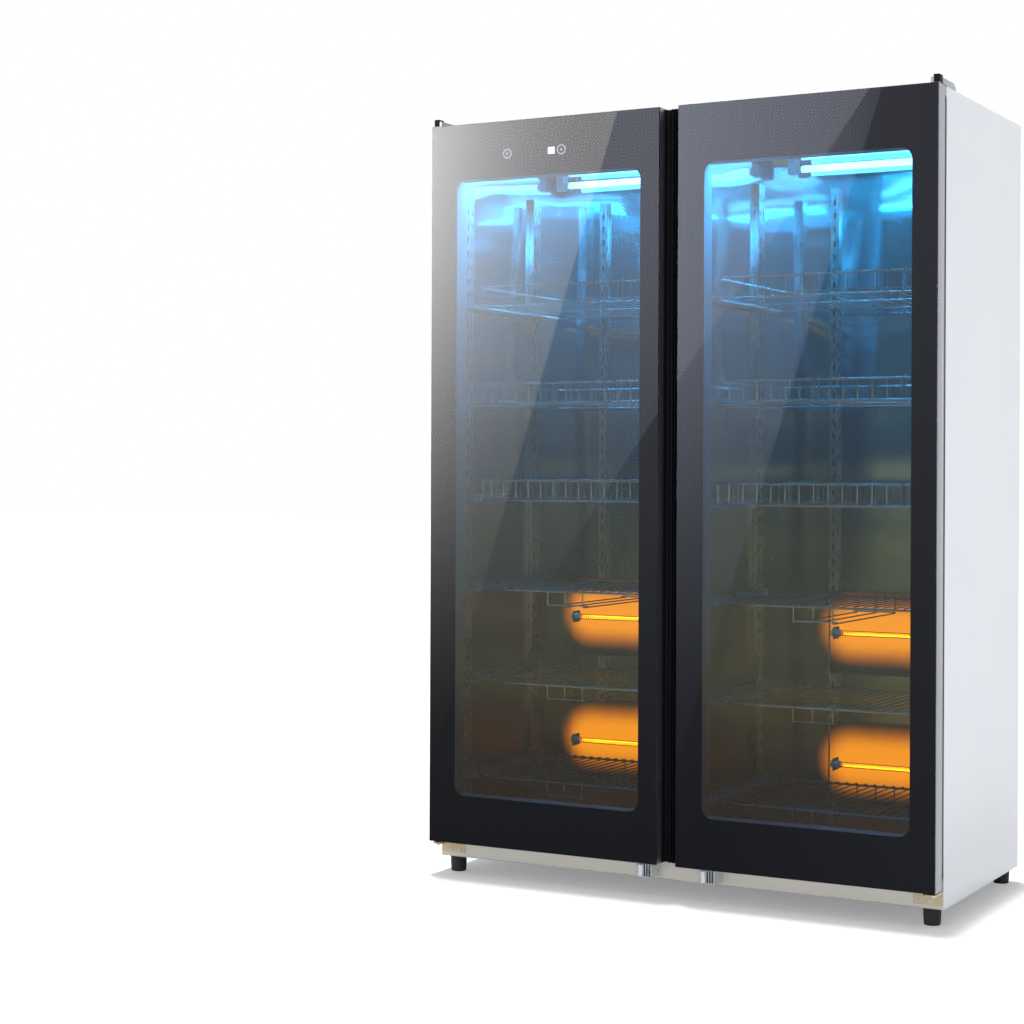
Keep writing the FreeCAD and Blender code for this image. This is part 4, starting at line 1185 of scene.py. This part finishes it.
# %% Floor
def white_floor():
    """A matt white sweep that keeps its shadow light to the camera."""
    material, tree, shader = new_material("white sweep", Roughness=0.9, Specular_IOR_Level=0.1)
    shader.inputs["Base Color"].default_value = (0.93, 0.93, 0.93, 1)
    shader.inputs["Emission Color"].default_value = (1, 1, 1, 1)
    seen = add(tree, "LightPath").outputs["Is Camera Ray"]
    feed(tree, shader, Emission_Strength=maths(tree, "MULTIPLY", seen, 0.235))
    return material


def stage_plane(name, low, high, material):
    """A flat stage surface between two opposite corners that share one coordinate."""
    low, high = np.array(low, float), np.array(high, float)
    first, second = np.flatnonzero(low != high)
    corners = np.stack([low] * 4)
    corners[1:3, first] = high[first]
    corners[2:, second] = high[second]
    mesh = bpy.data.meshes.new(name)
    mesh.from_pydata(corners.tolist(), [], [tuple(range(4))])
    mesh.materials.append(material)
    made = bpy.data.objects.new(name, mesh)
    bpy.context.scene.collection.objects.link(made)
    return made


FLOOR_REACH = 30.0
stage_plane("floor", (-FLOOR_REACH, -FLOOR_REACH, 0), (FLOOR_REACH, FLOOR_REACH, 0),
            white_floor())


# %% Boards that only reflections see
def only_reflections(thing):
    """Hides a stage surface from all but glossy rays and rays that came through glass."""
    thing.visible_camera = False
    thing.visible_diffuse = False
    thing.visible_shadow = False
    thing.visible_volume_scatter = False


DOOR_PLANE = -0.300
BOARD_Y = CAMERA_AT.y


def edge_mask(tree, u, v, start, end, soft):
    """1 on the left of a slanting line through two points of the door, 0 on its right.

    The signed distance is u - (u0 + (v - v0) * slope), turned by a narrow ramp.
    """
    slope = (end[0] - start[0]) / (end[1] - start[1])
    line = maths(tree, "MULTIPLY_ADD", maths(tree, "SUBTRACT", v, start[1]), slope, start[0])
    return ramp(tree, maths(tree, "SUBTRACT", u, line), -soft, soft, 1.0, 0.0)


def times(tree, a, b):
    """a times b."""
    return maths(tree, "MULTIPLY", a, b)


def falling(tree, v, reach):
    """exp(-((1.7 - v) / reach)^2): bright at the doors' top, fading downwards."""
    part = maths(tree, "DIVIDE", maths(tree, "SUBTRACT", 1.7, v), reach)
    return maths(tree, "EXPONENT", times(tree, times(tree, part, part), -1.0))


def pick(tree, mask, inside, outside):
    """inside where the mask is 1, outside where it is 0."""
    return add(tree, "Mix", {"Factor": mask, "A": outside, "B": inside}).outputs["Result"]


def bare_material(name):
    """A material with no nodes yet."""
    material = bpy.data.materials.new(name)
    material.use_nodes = True
    material.node_tree.nodes.clear()
    return material, material.node_tree


def shining(tree, colour, strength):
    """Ends a tree with a plain glow."""
    glow = add(tree, "Emission", {"Color": colour, "Strength": strength})
    tree.links.new(glow.outputs[0], add(tree, "OutputMaterial").inputs["Surface"])


def board_material():
    """Bands of light, laid out in the door's own width u and height v.

    A place P of a board shows in the door where the line from P to the
    mirrored camera M crosses the door's plane: with
    s = (door y - P y) / (M y - P y), u = P x + s (M x - P x) and the same for v.
    Each band is an amount that depends on u, times a fall with the height.
    """
    material, tree = bare_material("banded light board")
    mirrored = (CAMERA_AT.x, 2 * DOOR_PLANE - CAMERA_AT.y, CAMERA_AT.z)
    where = place(tree)
    y = add(tree, "SeparateXYZ", {0: where}).outputs["Y"]
    share = maths(tree, "DIVIDE", maths(tree, "SUBTRACT", DOOR_PLANE, y),
                  maths(tree, "SUBTRACT", mirrored[1], y))
    way = add(tree, "VectorMath", {0: mirrored, 1: where}, operation="SUBTRACT")
    scaled = add(tree, "VectorMath", {0: way.outputs[0], "Scale": share}, operation="SCALE")
    crossing = add(tree, "VectorMath", {0: where, 1: scaled.outputs[0]}, operation="ADD")
    door = add(tree, "SeparateXYZ", {0: crossing.outputs[0]})
    u, v = door.outputs["X"], door.outputs["Z"]
    on_left = ramp(tree, u, -0.0005, 0.0005, 1.0, 0.0)
    steep_left = edge_mask(tree, u, v, (-0.123, 1.692), (-0.434, 0.718), 0.002)
    shallow = edge_mask(tree, u, v, (0.431, 1.672), (-0.065, 0.984), 0.002)
    steep_right = edge_mask(tree, u, v, (0.465, 1.669), (0.146, 0.669), 0.002)
    out = maths(tree, "MULTIPLY_ADD", u, -1.0, -0.13)
    bright = maths(tree, "ADD", times(tree, times(tree, out, out), 1.75), 0.205)
    bright = times(tree, bright, falling(tree, v, 0.665))
    middle = times(tree, falling(tree, v, 0.8), 0.112)
    dark = times(tree, ramp(tree, u, -0.03, 0.565, 0.045, 0.02), falling(tree, v, 1.0))
    left = pick(tree, steep_left, bright, pick(tree, shallow, middle, dark))
    top_right = times(tree, ramp(tree, u, 0.0, 0.45, 0.186, 0.109), falling(tree, v, 1.05))
    low_right = times(tree, ramp(tree, u, 0.0, 0.45, 0.175, 0.052), falling(tree, v, 0.8))
    rest = pick(tree, shallow, top_right, pick(tree, steep_right, low_right, dark))
    lift = ramp(tree, u, 0.1, 0.55, 0.0085, 0.0145)
    total = maths(tree, "ADD", pick(tree, on_left, left, rest), lift)
    tint = blend(tree, times(tree, on_left, steep_left), (0.9, 0.96, 1.17, 1),
                 (0.99, 0.99, 1.02, 1))
    shining(tree, tint, times(tree, total, BOARD_GAIN))
    return material


BOARD_GAIN = 24.7
light_board = stage_plane("light_board", (-3.6, BOARD_Y, 0.0), (-0.2, BOARD_Y, 3.2),
                          board_material())
only_reflections(light_board)
light_board.visible_transmission = False


# %% A dim room in front, seen only from inside the cabinet
def dim_room():
    """What the polished walls see out through the doors: brown low down, then
    a pale band, and blue high up.

    One length w runs out along the floor and then up the far wall:
    w = z - y, where y is negative in front of the cabinet.
    """
    material, tree = bare_material("dim room")
    split = add(tree, "SeparateXYZ", {0: place(tree)}).outputs
    w = maths(tree, "SUBTRACT", split["Z"], split["Y"])
    shades = add(tree, "ValToRGB", {"Fac": ramp(tree, w, 0.0, 10.0, 0.0, 1.0)})
    stops = shades.color_ramp.elements
    stops[0].position, stops[0].color = 0.1, (0.85, 0.48, 0.16, 1)
    stops[1].position, stops[1].color = 0.9, (0.02, 0.13, 0.25, 1)
    for position, colour in ((0.25, (0.7, 0.5, 0.2, 1)), (0.44, (1.4, 1.2, 0.5, 1)),
                             (0.5, (0.9, 1.0, 0.6, 1)), (0.56, (0.04, 0.18, 0.25, 1)),
                             (0.7, (0.02, 0.12, 0.22, 1))):
        stops.new(position).color = colour
    shining(tree, shades.outputs["Color"], 1.0)
    return material


ROOM_Y = CAMERA_AT.y - 0.3
room_material = dim_room()
for name, low, high in (("dim_room_wall", (-9, ROOM_Y, 0), (9, ROOM_Y, 5)),
                        ("dim_room_ground", (-9, ROOM_Y, 0.004), (9, -0.5, 0.004)),
                        ("dim_room_ceiling", (-9, ROOM_Y, 5), (9, -0.5, 5))):
    room = stage_plane(name, low, high, room_material)
    only_reflections(room)
    room.visible_glossy = False
floor_board = stage_plane("board_on_floor", (-3.8, BOARD_Y, 0.003), (0.6, -0.34, 0.003),
                          light_board.data.materials[0])
only_reflections(floor_board)
floor_board.visible_transmission = False


# %% Sun, soft boxes and sky
def light(name, kind, energy, at, towards, colour=(1, 1, 1), **settings):
    """A lamp at a place, pointed at another."""
    data = bpy.data.lights.new(name, kind)
    data.energy = energy
    data.color = colour
    for key, value in settings.items():
        setattr(data, key, value)
    made = bpy.data.objects.new(name, data)
    made.location = at
    made.rotation_euler = (Vector(towards) - Vector(at)).to_track_quat("-Z", "Y").to_euler()
    bpy.context.scene.collection.objects.link(made)
    return made


light("overhead sun", "SUN", 2.0, (-0.085, 0.06, 3.0), (0, 0, 0), angle=math.radians(1.9))
light("right soft box", "AREA", 11.5, (3.3, -0.4, 1.05), (0.6, 0.0, 1.05), shape="RECTANGLE",
      size=1.6, size_y=1.0, colour=(0.96, 0.98, 1.0))
low_fill = light("low front fill", "AREA", 8.0, (0.3, -2.4, 0.3), (0.2, -0.25, 0.06),
                 shape="RECTANGLE", size=2.6, size_y=0.3)
low_fill.visible_glossy = low_fill.visible_transmission = False

flag_black = new_material("black flag", Base_Color=(0, 0, 0, 1), Roughness=1.0)[0]
flag = stage_plane("side_flag", (0.77, -0.34, 0.045), (0.77, 0.38, 0.105), flag_black)
flag.visible_camera = flag.visible_glossy = flag.visible_transmission = False

world = bpy.data.worlds.new("studio")
bpy.context.scene.world = world
world.use_nodes = True
tree = world.node_tree
tree.nodes.clear()
path = add(tree, "LightPath").outputs
seen = maths(tree, "MAXIMUM", path["Is Camera Ray"], path["Is Glossy Ray"])
seen = maths(tree, "MAXIMUM", seen, path["Is Transmission Ray"])
sky = add(tree, "Background", {"Color": (1, 1, 1, 1),
                               "Strength": ramp(tree, seen, 0.0, 1.0, 0.42, 1.0)})
tree.links.new(sky.outputs[0], add(tree, "OutputWorld").inputs["Surface"])

# %% Light inside the bays
for side in SIDES:
    x = side * (LAMP_NEAR + LAMP_FAR) / 2
    for y, lean, power in ((LAMP_ROWS[0], 0.1, 2.6), (LAMP_ROWS[1], -0.1, 8.5)):
        tube_light = light("bay glow", "AREA", power, (x, y + lean * 0.12, lamp_z - 0.012),
                           (x, y + lean, lamp_z - 0.5), (0.0, 0.46, 1.0), shape="RECTANGLE",
                           size=0.42, size_y=0.02)
        tube_light.visible_camera = tube_light.visible_transmission = False
    for z in HEATER_Z[side]:
        x = side * (HEATER_NEAR + HEATER_FAR) / 2
        warm = light("heater glow", "AREA", 0.28, (x, HEATER_Y - 0.012, z), (x, -0.5, z - 0.1),
                     (1.0, 0.13, 0.03), shape="RECTANGLE", size=0.26, size_y=0.02)
        warm.visible_camera = warm.visible_transmission = warm.visible_glossy = False
bpy.context.scene.view_settings.view_transform = "Standard"
print("studio ready")
